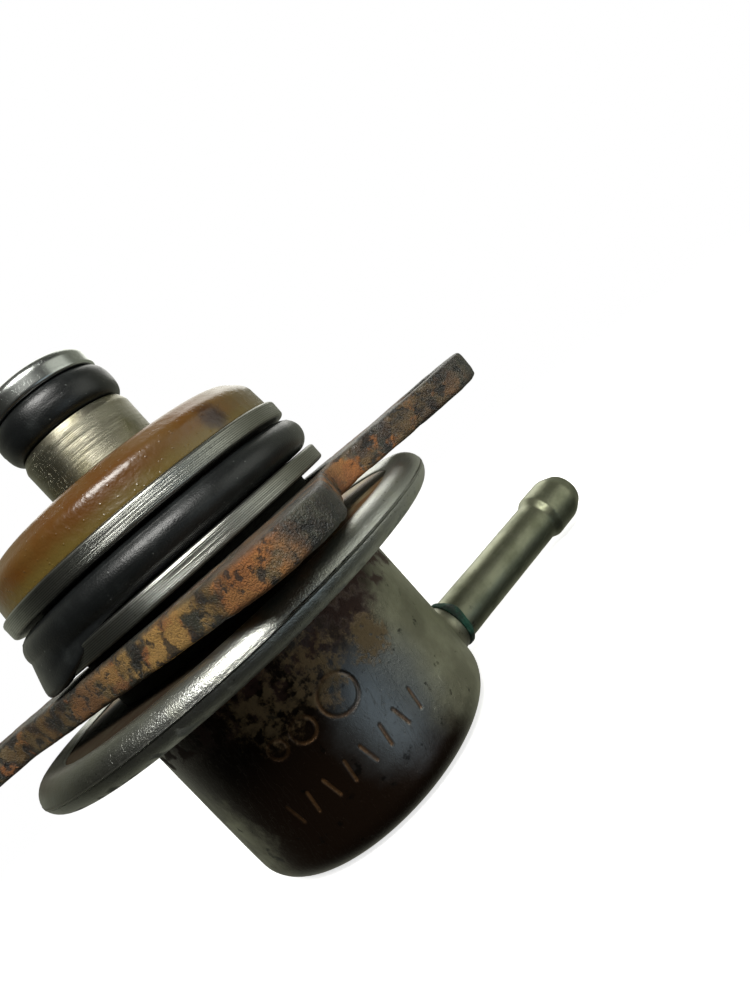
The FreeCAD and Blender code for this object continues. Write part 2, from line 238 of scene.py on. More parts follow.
def place(tree, scale=1000.0):
    # the surface's own place, in mm
    where = addNode(tree, "ShaderNodeTexCoord").outputs["Object"]
    return addNode(tree, "ShaderNodeVectorMath", {"operation": "SCALE"}, n0=where, Scale=scale).outputs[0]


def mottleGroup():
    # soft patches: noise of a size in mm, cut between low and high
    tree, given, result = makeGroup(
        "mottle",
        [("Size", "Float", 2.0), ("Low", "Float", 0.45), ("High", "Float", 0.6), ("Detail", "Float", 4.0),
         ("Shift", "Float", 0.0)],
        [("Mask", "Float")])
    scale = maths(tree, "DIVIDE", 1.0, given["Size"])
    noise = addNode(tree, "ShaderNodeTexNoise", {"noise_dimensions": "4D"}, Vector=place(tree), Scale=scale,
                    Detail=given["Detail"], Roughness=0.6, W=given["Shift"])
    tree.links.new(ramp(tree, noise.outputs[0], given["Low"], given["High"]), result["Mask"])
    return tree


def turnedLinesGroup():
    # fine tool lines round the Z axis: a wave over height plus radius, uneven from line to line
    tree, given, result = makeGroup(
        "turnedLines", [("Pitch", "Float", 0.2), ("Uneven", "Float", 0.6)], [("Height", "Float")])
    parts = addNode(tree, "ShaderNodeSeparateXYZ", None, Vector=place(tree)).outputs
    reach = maths(tree, "SQRT", maths(tree, "ADD", maths(tree, "MULTIPLY", parts[0], parts[0]),
                                      maths(tree, "MULTIPLY", parts[1], parts[1])))
    along = maths(tree, "ADD", parts[2], reach)
    phase = maths(tree, "DIVIDE", along, given["Pitch"])
    wave = maths(tree, "SINE", maths(tree, "MULTIPLY", phase, 2 * pi))
    spot = addNode(tree, "ShaderNodeCombineXYZ", None, X=maths(tree, "MULTIPLY", phase, 1.7),
                   Y=maths(tree, "MULTIPLY", parts[0], 0.05), Z=maths(tree, "MULTIPLY", parts[1], 0.05))
    noise = addNode(tree, "ShaderNodeTexNoise", None, Vector=spot.outputs[0], Scale=1.0, Detail=3.0)
    rough = maths(tree, "MULTIPLY", maths(tree, "SUBTRACT", noise.outputs[0], 0.5), 4.0)
    tree.links.new(mixValue(tree, given["Uneven"], wave, rough), result["Height"])
    return tree


def specksGroup():
    # small round specks: cells of a size in mm, of which a share holds a dot
    tree, given, result = makeGroup(
        "specks", [("Spacing", "Float", 1.0), ("Dot", "Float", 0.15), ("Share", "Float", 0.5)],
        [("Mask", "Float")])
    scale = maths(tree, "DIVIDE", 1.0, given["Spacing"])
    cells = addNode(tree, "ShaderNodeTexVoronoi", None, Vector=place(tree), Scale=scale)
    dot = ramp(tree, cells.outputs["Distance"], given["Dot"], 0.0)
    pick = addNode(tree, "ShaderNodeSeparateColor", None, Color=cells.outputs["Color"]).outputs[0]
    chosen = maths(tree, "LESS_THAN", pick, given["Share"])
    tree.links.new(maths(tree, "MULTIPLY", dot, chosen), result["Mask"])
    return tree


def hairlinesGroup():
    # thin stray scratches: a narrow band of stretched noise, turned by an angle
    tree, given, result = makeGroup(
        "hairlines", [("Length", "Float", 6.0), ("Width", "Float", 0.35), ("Angle", "Float", 0.5),
                      ("Thin", "Float", 0.012)], [("Mask", "Float")])
    turn = addNode(tree, "ShaderNodeCombineXYZ", None, X=given["Angle"], Y=maths(tree, "MULTIPLY", given["Angle"], 1.7),
                   Z=given["Angle"])
    turned = addNode(tree, "ShaderNodeVectorRotate", {"rotation_type": "EULER_XYZ"}, Vector=place(tree),
                     Rotation=turn.outputs[0])
    squeeze = addNode(tree, "ShaderNodeCombineXYZ", None, X=maths(tree, "DIVIDE", 1.0, given["Length"]),
                      Y=maths(tree, "DIVIDE", 1.0, given["Width"]), Z=maths(tree, "DIVIDE", 1.0, given["Width"]))
    spot = addNode(tree, "ShaderNodeVectorMath", {"operation": "MULTIPLY"}, n0=turned.outputs[0],
                   n1=squeeze.outputs[0])
    noise = addNode(tree, "ShaderNodeTexNoise", None, Vector=spot.outputs[0], Scale=1.0, Detail=1.0)
    off = maths(tree, "ABSOLUTE", maths(tree, "SUBTRACT", noise.outputs[0], 0.5))
    tree.links.new(ramp(tree, off, given["Thin"], 0.0), result["Mask"])
    return tree


def bandGroup():
    # a band between two heights in mm, with a blurred and wandering edge
    tree, given, result = makeGroup(
        "band", [("Low", "Float", 0.0), ("High", "Float", 1.0), ("Blur", "Float", 0.3), ("Wander", "Float", 0.0)],
        [("Mask", "Float")])
    height = addNode(tree, "ShaderNodeSeparateXYZ", None, Vector=place(tree)).outputs[2]
    noise = addNode(tree, "ShaderNodeTexNoise", None, Vector=place(tree), Scale=0.7, Detail=4.0)
    shift = maths(tree, "MULTIPLY", maths(tree, "SUBTRACT", noise.outputs[0], 0.5), given["Wander"])
    height = maths(tree, "ADD", height, shift)
    rise = ramp(tree, height, maths(tree, "SUBTRACT", given["Low"], given["Blur"]), given["Low"])
    fall = ramp(tree, height, maths(tree, "ADD", given["High"], given["Blur"]), given["High"])
    tree.links.new(maths(tree, "MULTIPLY", rise, fall), result["Mask"])
    return tree


def spotGroup():
    # a blot round a point in mm, with a ragged edge
    tree, given, result = makeGroup(
        "spot", [("Centre", "Vector", (0, 0, 0)), ("Radius", "Float", 2.0), ("Blur", "Float", 1.0),
                 ("Ragged", "Float", 1.0), ("Grain", "Float", 1.0)], [("Mask", "Float")])
    away = addNode(tree, "ShaderNodeVectorMath", {"operation": "DISTANCE"}, n0=place(tree), n1=given["Centre"])
    noise = addNode(tree, "ShaderNodeTexNoise", None, Vector=place(tree), Scale=given["Grain"], Detail=5.0,
                    Roughness=0.65)
    shift = maths(tree, "MULTIPLY", maths(tree, "SUBTRACT", noise.outputs[0], 0.5), given["Ragged"])
    distance = maths(tree, "ADD", away.outputs["Value"], shift)
    edge = maths(tree, "ADD", given["Radius"], given["Blur"])
    tree.links.new(ramp(tree, distance, edge, given["Radius"]), result["Mask"])
    return tree


mottle, turnedLines, specks = mottleGroup(), turnedLinesGroup(), specksGroup()
hairlines, band, spot = hairlinesGroup(), bandGroup(), spotGroup()


def use(tree, group, **inputs):
    made = addNode(tree, "ShaderNodeGroup", {"node_tree": group}, **inputs)
    return made.outputs[0]


def startMaterial(name, **constants):
    material = bpy.data.materials.new(name)
    material.use_nodes = True
    tree = material.node_tree
    shader = tree.nodes["Principled BSDF"]
    for key, value in constants.items():
        shader.inputs[key.replace("_", " ")].default_value = value
    return material, tree, shader


def feed(tree, shader, colour=None, roughness=None, metallic=None, height=None, depth=0.01, coat=None):
    # joins the worked-out colour, roughness, metal and relief to the shader; depth is the relief in mm
    for socket, value in (("Base Color", colour), ("Roughness", roughness), ("Metallic", metallic),
                          ("Coat Weight", coat)):
        if value is not None:
            tree.links.new(value, shader.inputs[socket])
    if height is not None:
        bump = addNode(tree, "ShaderNodeBump", None, Strength=1.0, Distance=depth * mm, Height=height)
        tree.links.new(bump.outputs[0], shader.inputs["Normal"])


def around(angle, radius, height):
    # a point on a turned surface: angle in degrees from +X, radius and height in mm
    return (radius * cos(radians(angle)), radius * sin(radians(angle)), height)


housingShape = {
    "wall": 14.45, "corner": 3.0, "sheet": 1.0, "lipRadius": 20.0, "lipDrop": 0.5, "section": 1.74, "coarse": 180, "fine": 210,
    "markedFrom": -143.0, "markedTo": -76.0, "markedLow": 5.6, "markedHigh": 15.4,
    "dent": 0.05, "stampDepth": 0.10, "stampHalfWidth": 0.09,
}


glandShape = {
    "bore": 11.9, "collar": 13.4, "floor": 13.0, "rearRim": 16.3, "frontRim": 16.1, "rim": 1.7,
    "rearLow": 27.7, "break": 0.3, "groove": 0.022, "pitch": 0.17, "segments": 360,
}


# ---- finishes
turnedSteelLook = {
    # the dirt colour also serves as painted shade in the grooves and below the rear rim, and the stain colour as
    # painted shade towards the side
    "steel": (0.40, 0.41, 0.38), "stain": (0.13, 0.125, 0.085), "dirt": (0.02, 0.02, 0.016),
    "linePitch": 0.17, "lineDepth": 0.010,
}


def turnedSteel():
    # bright where the rims are looked at from the front, with painted shade in dull olive towards the side, random
    # dirt, and painted shade in the grooves and below the rear rim
    look = turnedSteelLook
    material, tree, shader = startMaterial("turnedSteel", Metallic=1.0)
    # painted shade: a dull olive blot towards the right-hand edge, mixed into the random stain
    side = use(tree, spot, Centre=around(sideAngle, glandHigh[0], 31.0), Radius=9.0, Blur=9.0, Ragged=2.0, Grain=0.5)
    stain = use(tree, mottle, Size=3.0, Low=0.5, High=0.8)
    stain = maths(tree, "MAXIMUM", maths(tree, "MULTIPLY", stain, 0.5), maths(tree, "MULTIPLY", side, 0.55))
    dirt = use(tree, mottle, Size=0.7, Low=0.63, High=0.74, Shift=4.0)
    colour = mixColour(tree, stain, look["steel"], look["stain"])
    colour = mixColour(tree, maths(tree, "MULTIPLY", dirt, 0.5), colour, look["dirt"])
    # painted shade: the colour darkens along the tool grooves
    height = addNode(tree, "ShaderNodeSeparateXYZ", None, Vector=place(tree)).outputs[2]
    wave = maths(tree, "COSINE", maths(tree, "MULTIPLY", height, 2 * pi / look["linePitch"]))
    groove = ramp(tree, wave, -0.2, -1.0)
    colour = mixColour(tree, maths(tree, "MULTIPLY", groove, 0.55), colour, look["dirt"])
    # painted shade: darker on the collar below the rear rim, in the gap above the plate, and round the rear rim's left
    # end by the swollen seal
    gapShade = use(tree, band, Low=0.0, High=glandShape["rearLow"] - 0.1, Blur=0.3, Wander=0.3)
    shade = use(tree, spot, Centre=around(-178.0, glandShape["rearRim"], 28.5), Radius=2.0, Blur=5.0,
                Ragged=1.5, Grain=0.7)
    gapShade = maths(tree, "MAXIMUM", gapShade, maths(tree, "MULTIPLY", shade, 0.9))
    colour = mixColour(tree, maths(tree, "MULTIPLY", gapShade, 0.93), colour, look["dirt"])
    lines = use(tree, turnedLines, Pitch=look["linePitch"] * 0.45, Uneven=0.8)
    rough = maths(tree, "MAXIMUM", mixValue(tree, stain, 0.28, 0.45), maths(tree, "MULTIPLY", gapShade, 0.7))
    feed(tree, shader, colour, rough, height=lines, depth=look["lineDepth"])
    return material


tubeLook = {
    "steel": (0.29, 0.275, 0.21), "stain": (0.17, 0.155, 0.08), "greenish": (0.10, 0.095, 0.05),
    "polished": (0.46, 0.48, 0.46),
}


def tubeSteel():
    # brushed round and a little yellow; only the lip at the end is polished
    look = tubeLook
    material, tree, shader = startMaterial("tubeSteel", Metallic=1.0)
    stain = use(tree, mottle, Size=3.4, Low=0.45, High=0.7)
    green = use(tree, mottle, Size=1.6, Low=0.52, High=0.72, Shift=7.0)
    colour = mixColour(tree, maths(tree, "MULTIPLY", stain, 0.8), look["steel"], look["stain"])
    colour = mixColour(tree, maths(tree, "MULTIPLY", green, 0.35), colour, look["greenish"])
    lip = use(tree, band, Low=tubeHigh[2] - 2.4, High=tubeHigh[2] + 1, Blur=0.2)
    colour = mixColour(tree, lip, colour, look["polished"])
    lines = use(tree, turnedLines, Pitch=0.10, Uneven=0.9)
    streak = use(tree, turnedLines, Pitch=0.5, Uneven=1.0)
    scratch = use(tree, hairlines, Length=1.2, Width=0.3, Angle=0.9, Thin=0.006)
    lines = maths(tree, "ADD", lines, streak)
    height = maths(tree, "SUBTRACT", maths(tree, "MULTIPLY", lines, mixValue(tree, lip, 1.0, 0.02)),
                   maths(tree, "MULTIPLY", scratch, mixValue(tree, lip, 0.8, 0.15)))
    rough = mixValue(tree, lip, mixValue(tree, stain, 0.36, 0.46), 0.27)
    feed(tree, shader, colour, rough, height=height, depth=0.014)
    return material


rubberLook = {"black": (0.0065, 0.0075, 0.0078), "bloom": (0.020, 0.024, 0.024), "dust": (0.16, 0.17, 0.16)}


def blackRubber():
    look = rubberLook
    material, tree, shader = startMaterial("blackRubber", IOR=1.5)
    bloom = use(tree, mottle, Size=2.2, Low=0.45, High=0.8, Detail=6.0)
    dust = use(tree, specks, Spacing=0.8, Dot=0.13, Share=0.40)
    fine = use(tree, mottle, Size=0.16, Low=0.3, High=0.7, Detail=2.0)
    colour = mixColour(tree, maths(tree, "MULTIPLY", bloom, 0.5), look["black"], look["bloom"])
    colour = mixColour(tree, maths(tree, "MULTIPLY", dust, 0.6), colour, look["dust"])
    rough = mixValue(tree, bloom, 0.34, 0.5)
    height = maths(tree, "ADD", fine, maths(tree, "MULTIPLY", dust, 2.0))
    feed(tree, shader, colour, rough, height=height, depth=0.008)
    return material


nylonLook = {
    "brown": (0.105, 0.040, 0.006), "olive": (0.110, 0.074, 0.016), "pale": (0.34, 0.235, 0.060),
    "blot": (0.016, 0.004, 0.003), "blotAngle": -67.0, "blotHeight": 36.3,
}


def amberNylon():
    # brown in the middle of its side, with painted light making it clearer and yellower at both edges and towards the
    # right-hand side, and one burnt blot
    look = nylonLook
    material, tree, shader = startMaterial("amberNylon", IOR=1.53, Coat_Roughness=0.2)
    cloud = use(tree, mottle, Size=5.0, Low=0.35, High=0.7, Detail=3.0)
    # painted light: olive at the lower edge and towards the right-hand side, and a pale painted highlight along the top
    # edge
    lowEdgeLight = use(tree, band, Low=strainerLow[2] - 1, High=strainerLow[2] + 0.3, Blur=1.5, Wander=1.2)
    side = use(tree, spot, Centre=around(sideAngle, strainerHigh[0], 37.0), Radius=5.0, Blur=6.0, Ragged=2.0,
               Grain=0.5)
    topEdgeHighlight = use(tree, band, Low=strainerHigh[2] - 0.45, High=strainerHigh[2] + 1, Blur=0.5, Wander=0.3)
    base = mixColour(tree, maths(tree, "MULTIPLY", cloud, 0.35), look["brown"], look["olive"])
    colour = mixColour(tree, maths(tree, "MAXIMUM", lowEdgeLight, maths(tree, "MULTIPLY", side, 0.8)), base,
                       look["olive"])
    colour = mixColour(tree, topEdgeHighlight, colour, look["pale"])
    blot = use(tree, spot, Centre=around(look["blotAngle"], strainerHigh[0] - 0.3, look["blotHeight"]), Radius=0.5,
               Blur=1.4, Ragged=1.6, Grain=0.8)
    colour = mixColour(tree, maths(tree, "MULTIPLY", blot, 0.92), colour, look["blot"])
    grit = use(tree, specks, Spacing=0.40, Dot=0.34, Share=0.30)
    ripple = use(tree, mottle, Size=0.8, Low=0.3, High=0.7, Detail=2.0)
    height = maths(tree, "ADD", ripple, maths(tree, "MULTIPLY", grit, 1.4))
    rough = mixValue(tree, cloud, 0.27, 0.38)
    feed(tree, shader, colour, rough, height=height, depth=0.022)
    shader.inputs["Coat Weight"].default_value = 0.12
    return material


meshLook = {"thread": (0.42, 0.37, 0.24), "soiled": (0.16, 0.12, 0.06)}


def wovenNylon():
    material, tree, shader = startMaterial("wovenNylon", IOR=1.53)
    soil = use(tree, mottle, Size=3.0, Low=0.4, High=0.65)
    colour = mixColour(tree, soil, meshLook["thread"], meshLook["soiled"])
    feed(tree, shader, colour, mixValue(tree, soil, 0.4, 0.65))
    return material


rustLook = {
    "scale": (0.008, 0.009, 0.008), "green": (0.058, 0.062, 0.043), "umber": (0.050, 0.026, 0.012),
    "ochre": (0.43, 0.25, 0.065), "orange": (0.34, 0.125, 0.030), "fine": (0.13, 0.10, 0.055),
}


def rustedSteel():
    # black mill scale and grey-green film, with umber, orange and ochre rust in patches; the rust gives way to black at
    # two of the ears.
    # Painted shade takes the rust off the upward faces, so that it stays on the cut edges, and darkens the ring round
    # the neck hole
    look = rustLook
    material, tree, shader = startMaterial("rustedSteel", IOR=1.6)
    film = use(tree, mottle, Size=1.8, Low=0.42, High=0.6, Detail=6.0, Shift=1.0)
    umber = use(tree, mottle, Size=4.0, Low=0.46, High=0.60, Detail=8.0, Shift=2.0)
    bare = use(tree, spot, Centre=around(-85.0, 31.5, 25.5), Radius=3.8, Blur=3.2, Ragged=5.0, Grain=0.7)
    farEar = use(tree, spot, Centre=around(sideAngle, 33.0, 25.5), Radius=3.5, Blur=7.0, Ragged=5.0, Grain=0.7)
    bare = maths(tree, "MAXIMUM", bare, maths(tree, "MULTIPLY", farEar, 0.95))
    keep = maths(tree, "SUBTRACT", 1.0, bare)
    parts = addNode(tree, "ShaderNodeSeparateXYZ", None, Vector=place(tree)).outputs
    reach = maths(tree, "SQRT", maths(tree, "ADD", maths(tree, "MULTIPLY", parts[0], parts[0]),
                                      maths(tree, "MULTIPLY", parts[1], parts[1])))
    # painted shade: darker round the neck hole, under the rim
    shadeMask = ramp(tree, reach, 18.5, 15.5)
    keep = maths(tree, "MULTIPLY", keep, maths(tree, "SUBTRACT", 1.0, maths(tree, "MULTIPLY", shadeMask, 0.9)))
    orange = use(tree, mottle, Size=3.6, Low=0.50, High=0.57, Detail=9.0, Shift=3.2)
    ochre = use(tree, mottle, Size=3.0, Low=0.44, High=0.54, Detail=9.0, Shift=5.0)
    yellow = use(tree, spot, Centre=around(-123.0, 18.7, 25.5), Radius=5.5, Blur=4.5, Ragged=5.0, Grain=0.7)
    ochre = maths(tree, "MULTIPLY", ochre, mixValue(tree, yellow, 0.25, 1.0))
    warm = use(tree, spot, Centre=around(-98.0, 28.6, 25.5), Radius=2.5, Blur=3.5, Ragged=4.0, Grain=0.7)
    warm = maths(tree, "MULTIPLY", warm, use(tree, mottle, Size=1.8, Low=0.38, High=0.52, Detail=9.0, Shift=6.0))
    orange = maths(tree, "MAXIMUM", orange, warm)
    # painted shade: the upward faces lose most of their rust and stay dark
    upperShade = addNode(tree, "ShaderNodeAttribute", {"attribute_name": "mask"}).outputs["Fac"]
    keep = maths(tree, "MULTIPLY", keep, maths(tree, "SUBTRACT", 1.0, maths(tree, "MULTIPLY", upperShade, 0.75)))
    orange = maths(tree, "MULTIPLY", orange, keep)
    ochre = maths(tree, "MULTIPLY", ochre, keep)
    grain = use(tree, mottle, Size=0.14, Low=0.38, High=0.62, Detail=2.0, Shift=8.0)
    pits = use(tree, mottle, Size=1.1, Low=0.535, High=0.60, Detail=12.0, Shift=9.0)
    scratch = use(tree, hairlines, Length=9.0, Width=1.6, Angle=0.4, Thin=0.0025)
    lightScratch = use(tree, hairlines, Length=12.0, Width=1.4, Angle=1.1, Thin=0.003)
    colour = mixColour(tree, maths(tree, "MULTIPLY", film, 0.7), look["scale"], look["green"])
    colour = mixColour(tree, maths(tree, "MULTIPLY", maths(tree, "MULTIPLY", umber, keep), 0.8), colour, look["umber"])
    colour = mixColour(tree, maths(tree, "MULTIPLY", lightScratch, 0.5), colour, look["fine"])
    colour = mixColour(tree, maths(tree, "MULTIPLY", orange, 0.85), colour, look["orange"])
    colour = mixColour(tree, maths(tree, "MULTIPLY", ochre, 0.9), colour, look["ochre"])
    colour = mixColour(tree, maths(tree, "MULTIPLY", grain, 0.3), colour, look["umber"])
    colour = mixColour(tree, maths(tree, "MULTIPLY", pits, 0.85), colour, look["scale"])
    colour = mixColour(tree, maths(tree, "MULTIPLY", scratch, 0.7), colour, look["scale"])
    rust = maths(tree, "MAXIMUM", orange, ochre)
    height = maths(tree, "ADD", maths(tree, "MULTIPLY", rust, 0.8), maths(tree, "MULTIPLY", grain, 0.7))
    height = maths(tree, "SUBTRACT", height, maths(tree, "ADD", pits, scratch))
    feed(tree, shader, colour, mixValue(tree, rust, 0.45, 0.9), height=height, depth=0.07)
    return material


housingLook = {
    "bare": (0.43, 0.44, 0.415), "brown": (0.022, 0.012, 0.007), "olive": (0.42, 0.42, 0.31),
    "tan": (0.30, 0.20, 0.095), "redRust": (0.050, 0.015, 0.008), "black": (0.006, 0.005, 0.004),
    "beadShade": (0.085, 0.080, 0.055), "verdigris": (0.020, 0.075, 0.050), "blue": (0.20, 0.22, 0.23), "amber": (0.20, 0.105, 0.045),
}


def pressedSteel():
    # bright burnished bead; a cup stained nearly black where it is looked at, with olive painted reflection at its two
    # sides and the back and a bluish painted sheen;
    # rust and a scratched pale deposit below the bead; painted shade on the bead's left and inside the lip
    look = housingLook
    material, tree, shader = startMaterial("pressedSteel")
    wall = housingShape["wall"]
    bead = use(tree, band, Low=19.6, High=30.0, Blur=0.6, Wander=0.8)
    film = use(tree, mottle, Size=6.0, Low=0.35, High=0.62, Detail=6.0, Shift=1.5)
    # painted reflection: olive at the two sides and at the back of the cup
    rightReflection = use(tree, spot, Centre=around(-38.0, wall, 8.0), Radius=7.0, Blur=5.0, Ragged=4.0, Grain=0.45)
    leftReflection = use(tree, spot, Centre=around(-192.0, wall, 6.0), Radius=6.5, Blur=4.0, Ragged=6.0, Grain=0.6)
    backSide = use(tree, spot, Centre=around(90.0, wall, 8.0), Radius=9.0, Blur=6.0, Ragged=6.0, Grain=0.4)
    sideReflection = maths(tree, "MAXIMUM", maths(tree, "MAXIMUM", rightReflection, leftReflection), backSide)
    smoky = use(tree, mottle, Size=2.6, Low=0.40, High=0.60, Detail=8.0, Shift=11.0)
    mottled = maths(tree, "MULTIPLY", sideReflection, mixValue(tree, film, 0.95, 0.55))
    mottled = maths(tree, "MULTIPLY", mottled, mixValue(tree, maths(tree, "MULTIPLY", smoky, leftReflection), 1.0, 0.35))
    cup = mixColour(tree, mottled, look["brown"], look["olive"])
    # painted reflection: a bluish sheen on the front of the cup
    blueSheen = use(tree, spot, Centre=around(-86.0, wall, 9.0), Radius=1.8, Blur=5.5, Ragged=3.0, Grain=0.4)
    cup = mixColour(tree, maths(tree, "MULTIPLY", blueSheen, 0.75), cup, look["blue"])
    joint = use(tree, band, Low=16.4, High=19.8, Blur=1.3, Wander=4.0)
    redShare = maths(tree, "MULTIPLY", joint, use(tree, mottle, Size=1.6, Low=0.42, High=0.56, Shift=3.0))
    cup = mixColour(tree, maths(tree, "MULTIPLY", redShare, 0.85), cup, look["redRust"])
    tanMask = use(tree, spot, Centre=around(-77.0, wall, 13.9), Radius=1.0, Blur=1.5, Ragged=5.0, Grain=1.1)
    smear = use(tree, spot, Centre=around(-101.0, wall, 15.6), Radius=1.8, Blur=2.2, Ragged=6.0, Grain=1.6)
    streak = use(tree, spot, Centre=around(-118.0, wall, 15.8), Radius=1.8, Blur=2.2, Ragged=6.0, Grain=1.6)
    broken = use(tree, mottle, Size=0.9, Low=0.42, High=0.57, Detail=10.0, Shift=7.0)
    smear = maths(tree, "MULTIPLY", maths(tree, "MAXIMUM", smear, streak), broken)
    chipped = use(tree, mottle, Size=0.7, Low=0.34, High=0.46, Detail=10.0, Shift=12.0)
    tanMask = maths(tree, "MULTIPLY", tanMask, chipped)
    paleShare = maths(tree, "MAXIMUM", tanMask, maths(tree, "MULTIPLY", smear, 0.9))
    cup = mixColour(tree, maths(tree, "MULTIPLY", paleShare, 0.8), cup, look["tan"])
    blackMask = use(tree, mottle, Size=1.3, Low=0.60, High=0.68, Detail=6.0, Shift=6.0)
    cup = mixColour(tree, maths(tree, "MULTIPLY", blackMask, 0.8), cup, look["black"])
    stamp = addNode(tree, "ShaderNodeAttribute", {"attribute_name": "mask"}).outputs["Fac"]
    stained = use(tree, mottle, Size=2.2, Low=0.36, High=0.62, Shift=8.0)
    cup = mixColour(tree, maths(tree, "MULTIPLY", stamp, mixValue(tree, stained, 0.25, 0.8)), cup, look["amber"])
    green = use(tree, spot, Centre=(16.6, 0.0, nippleZ), Radius=2.2, Blur=1.2, Ragged=1.6, Grain=1.6)
    cup = mixColour(tree, maths(tree, "MULTIPLY", green, 0.5), cup, look["verdigris"])
    speck = use(tree, specks, Spacing=0.5, Dot=0.24, Share=0.4)
    tarnish = use(tree, mottle, Size=2.2, Low=0.40, High=0.80, Detail=5.0, Shift=2.0)
    brushed = use(tree, turnedLines, Pitch=0.22, Uneven=1.0)
    rolled = mixColour(tree, maths(tree, "MULTIPLY", tarnish, 0.5), look["bare"], look["olive"])
    rolled = mixColour(tree, maths(tree, "MULTIPLY", speck, 0.7), rolled, look["black"])
    # painted shade: darker on the bead's left side and just inside the lip's inner edge
    beadShade = use(tree, spot, Centre=around(-172.0, beadR, 21.8), Radius=10.0, Blur=10.0, Ragged=6.0, Grain=0.4)
    rolled = mixColour(tree, maths(tree, "MULTIPLY", beadShade, 0.6), rolled, look["beadShade"])
    inside = use(tree, spot, Centre=(0.0, 0.0, 22.6), Radius=19.6, Blur=0.9, Ragged=0.6, Grain=0.9)
    rolled = mixColour(tree, maths(tree, "MULTIPLY", inside, 0.85), rolled, look["beadShade"])
    colour = mixColour(tree, bead, cup, rolled)
    crumbs = use(tree, mottle, Size=0.35, Low=0.4, High=0.7, Detail=4.0, Shift=2.0)
    fine = use(tree, mottle, Size=0.13, Low=0.3, High=0.7, Detail=2.0, Shift=3.0)
    scratch = use(tree, hairlines, Length=4.0, Width=0.5, Angle=0.7, Thin=0.008)
    height = maths(tree, "ADD", maths(tree, "MULTIPLY", fine, mixValue(tree, bead, 0.4, 0.9)),
                   maths(tree, "MULTIPLY", crumbs, mixValue(tree, bead, 0.45, 0.2)))
    marks = maths(tree, "MULTIPLY", scratch, mixValue(tree, bead, 1.0, 0.35))
    height = maths(tree, "SUBTRACT", height, maths(tree, "ADD", marks, maths(tree, "MULTIPLY", speck, 0.6)))
    height = maths(tree, "ADD", height, maths(tree, "MULTIPLY", paleShare, 1.2))
    height = maths(tree, "ADD", height, maths(tree, "MULTIPLY", maths(tree, "MULTIPLY", brushed, bead), 0.2))
    deposits = maths(tree, "MAXIMUM", maths(tree, "MAXIMUM", paleShare, redShare), green)
    metal = maths(tree, "SUBTRACT", 1.0, maths(tree, "MULTIPLY", deposits, 0.9))
    metal = mixValue(tree, bead, maths(tree, "MULTIPLY", metal, mixValue(tree, sideReflection, 0.75, 0.9)), 1.0)
    rough = mixValue(tree, bead, mixValue(tree, sideReflection, 0.30, 0.42), mixValue(tree, tarnish, 0.33, 0.42))
    rough = maths(tree, "MAXIMUM", rough, maths(tree, "MULTIPLY", deposits, 0.75))
    feed(tree, shader, colour, rough, metal, height, depth=0.014)
    return material


nippleLook = {"steel": (0.28, 0.29, 0.205), "dull": (0.17, 0.18, 0.118), "dark": (0.07, 0.072, 0.058)}


def nippleSteel():
    look = nippleLook
    material, tree, shader = startMaterial("nippleSteel", Metallic=1.0)
    dull = use(tree, mottle, Size=4.0, Low=0.35, High=0.7)
    dark = use(tree, mottle, Size=1.5, Low=0.60, High=0.74, Shift=3.0)
    colour = mixColour(tree, dull, look["steel"], look["dull"])
    colour = mixColour(tree, maths(tree, "MULTIPLY", dark, 0.6), colour, look["dark"])
    fine = use(tree, mottle, Size=0.2, Low=0.3, High=0.7, Detail=3.0)
    scratch = use(tree, hairlines, Length=5.0, Width=0.5, Angle=0.1, Thin=0.008)
    height = maths(tree, "SUBTRACT", maths(tree, "MULTIPLY", fine, 0.5), scratch)
    feed(tree, shader, colour, mixValue(tree, dull, 0.36, 0.46), height=height, depth=0.010)
    return material


brazeLook = {"green": (0.020, 0.110, 0.072), "pale": (0.09, 0.20, 0.14), "dark": (0.006, 0.016, 0.012)}


def verdigris():
    look = brazeLook
    material, tree, shader = startMaterial("verdigris", IOR=1.5)
    pale = use(tree, mottle, Size=1.2, Low=0.5, High=0.65)
    dark = use(tree, mottle, Size=2.4, Low=0.42, High=0.58, Shift=5.0)
    colour = mixColour(tree, pale, look["green"], look["pale"])
    colour = mixColour(tree, maths(tree, "MULTIPLY", dark, 0.9), colour, look["dark"])
    feed(tree, shader, colour, mixValue(tree, dark, 0.8, 0.5), height=use(tree, mottle, Size=0.3), depth=0.03)
    return material


def plainMetal(name, colour, stain, roughness, size=2.0):
    # pressed and ground pieces inside the shell: base metal with faint staining and grain
    material, tree, shader = startMaterial(name, Metallic=1.0)
    cloud = use(tree, mottle, Size=size, Low=0.4, High=0.7)
    grain = use(tree, mottle, Size=0.15, Low=0.3, High=0.7, Detail=2.0)
    feed(tree, shader, mixColour(tree, cloud, colour, stain), mixValue(tree, cloud, roughness, roughness + 0.15),
         height=grain, depth=0.004)
    return material


shellLook = {"tan": (0.30, 0.24, 0.13), "rust": (0.20, 0.10, 0.04), "dark": (0.020, 0.014, 0.008)}


def shellSteel():
    # the flange inside the rolled lip: tan, rusted in patches, with painted shade on its left side
    look = shellLook
    material, tree, shader = startMaterial("shellSteel", Metallic=0.6)
    rust = use(tree, mottle, Size=2.2, Low=0.4, High=0.6)
    # painted shade: darker on the flange's left side
    shadeMask = use(tree, spot, Centre=around(-150.0, 17.0, 22.5), Radius=16.0, Blur=8.0, Ragged=6.0, Grain=0.5)
    colour = mixColour(tree, rust, look["tan"], look["rust"])
    colour = mixColour(tree, maths(tree, "MULTIPLY", shadeMask, 0.9), colour, look["dark"])
    grain = use(tree, mottle, Size=0.2, Low=0.3, High=0.7, Detail=3.0)
    feed(tree, shader, colour, mixValue(tree, shadeMask, 0.5, 0.8), height=grain, depth=0.01)
    return material


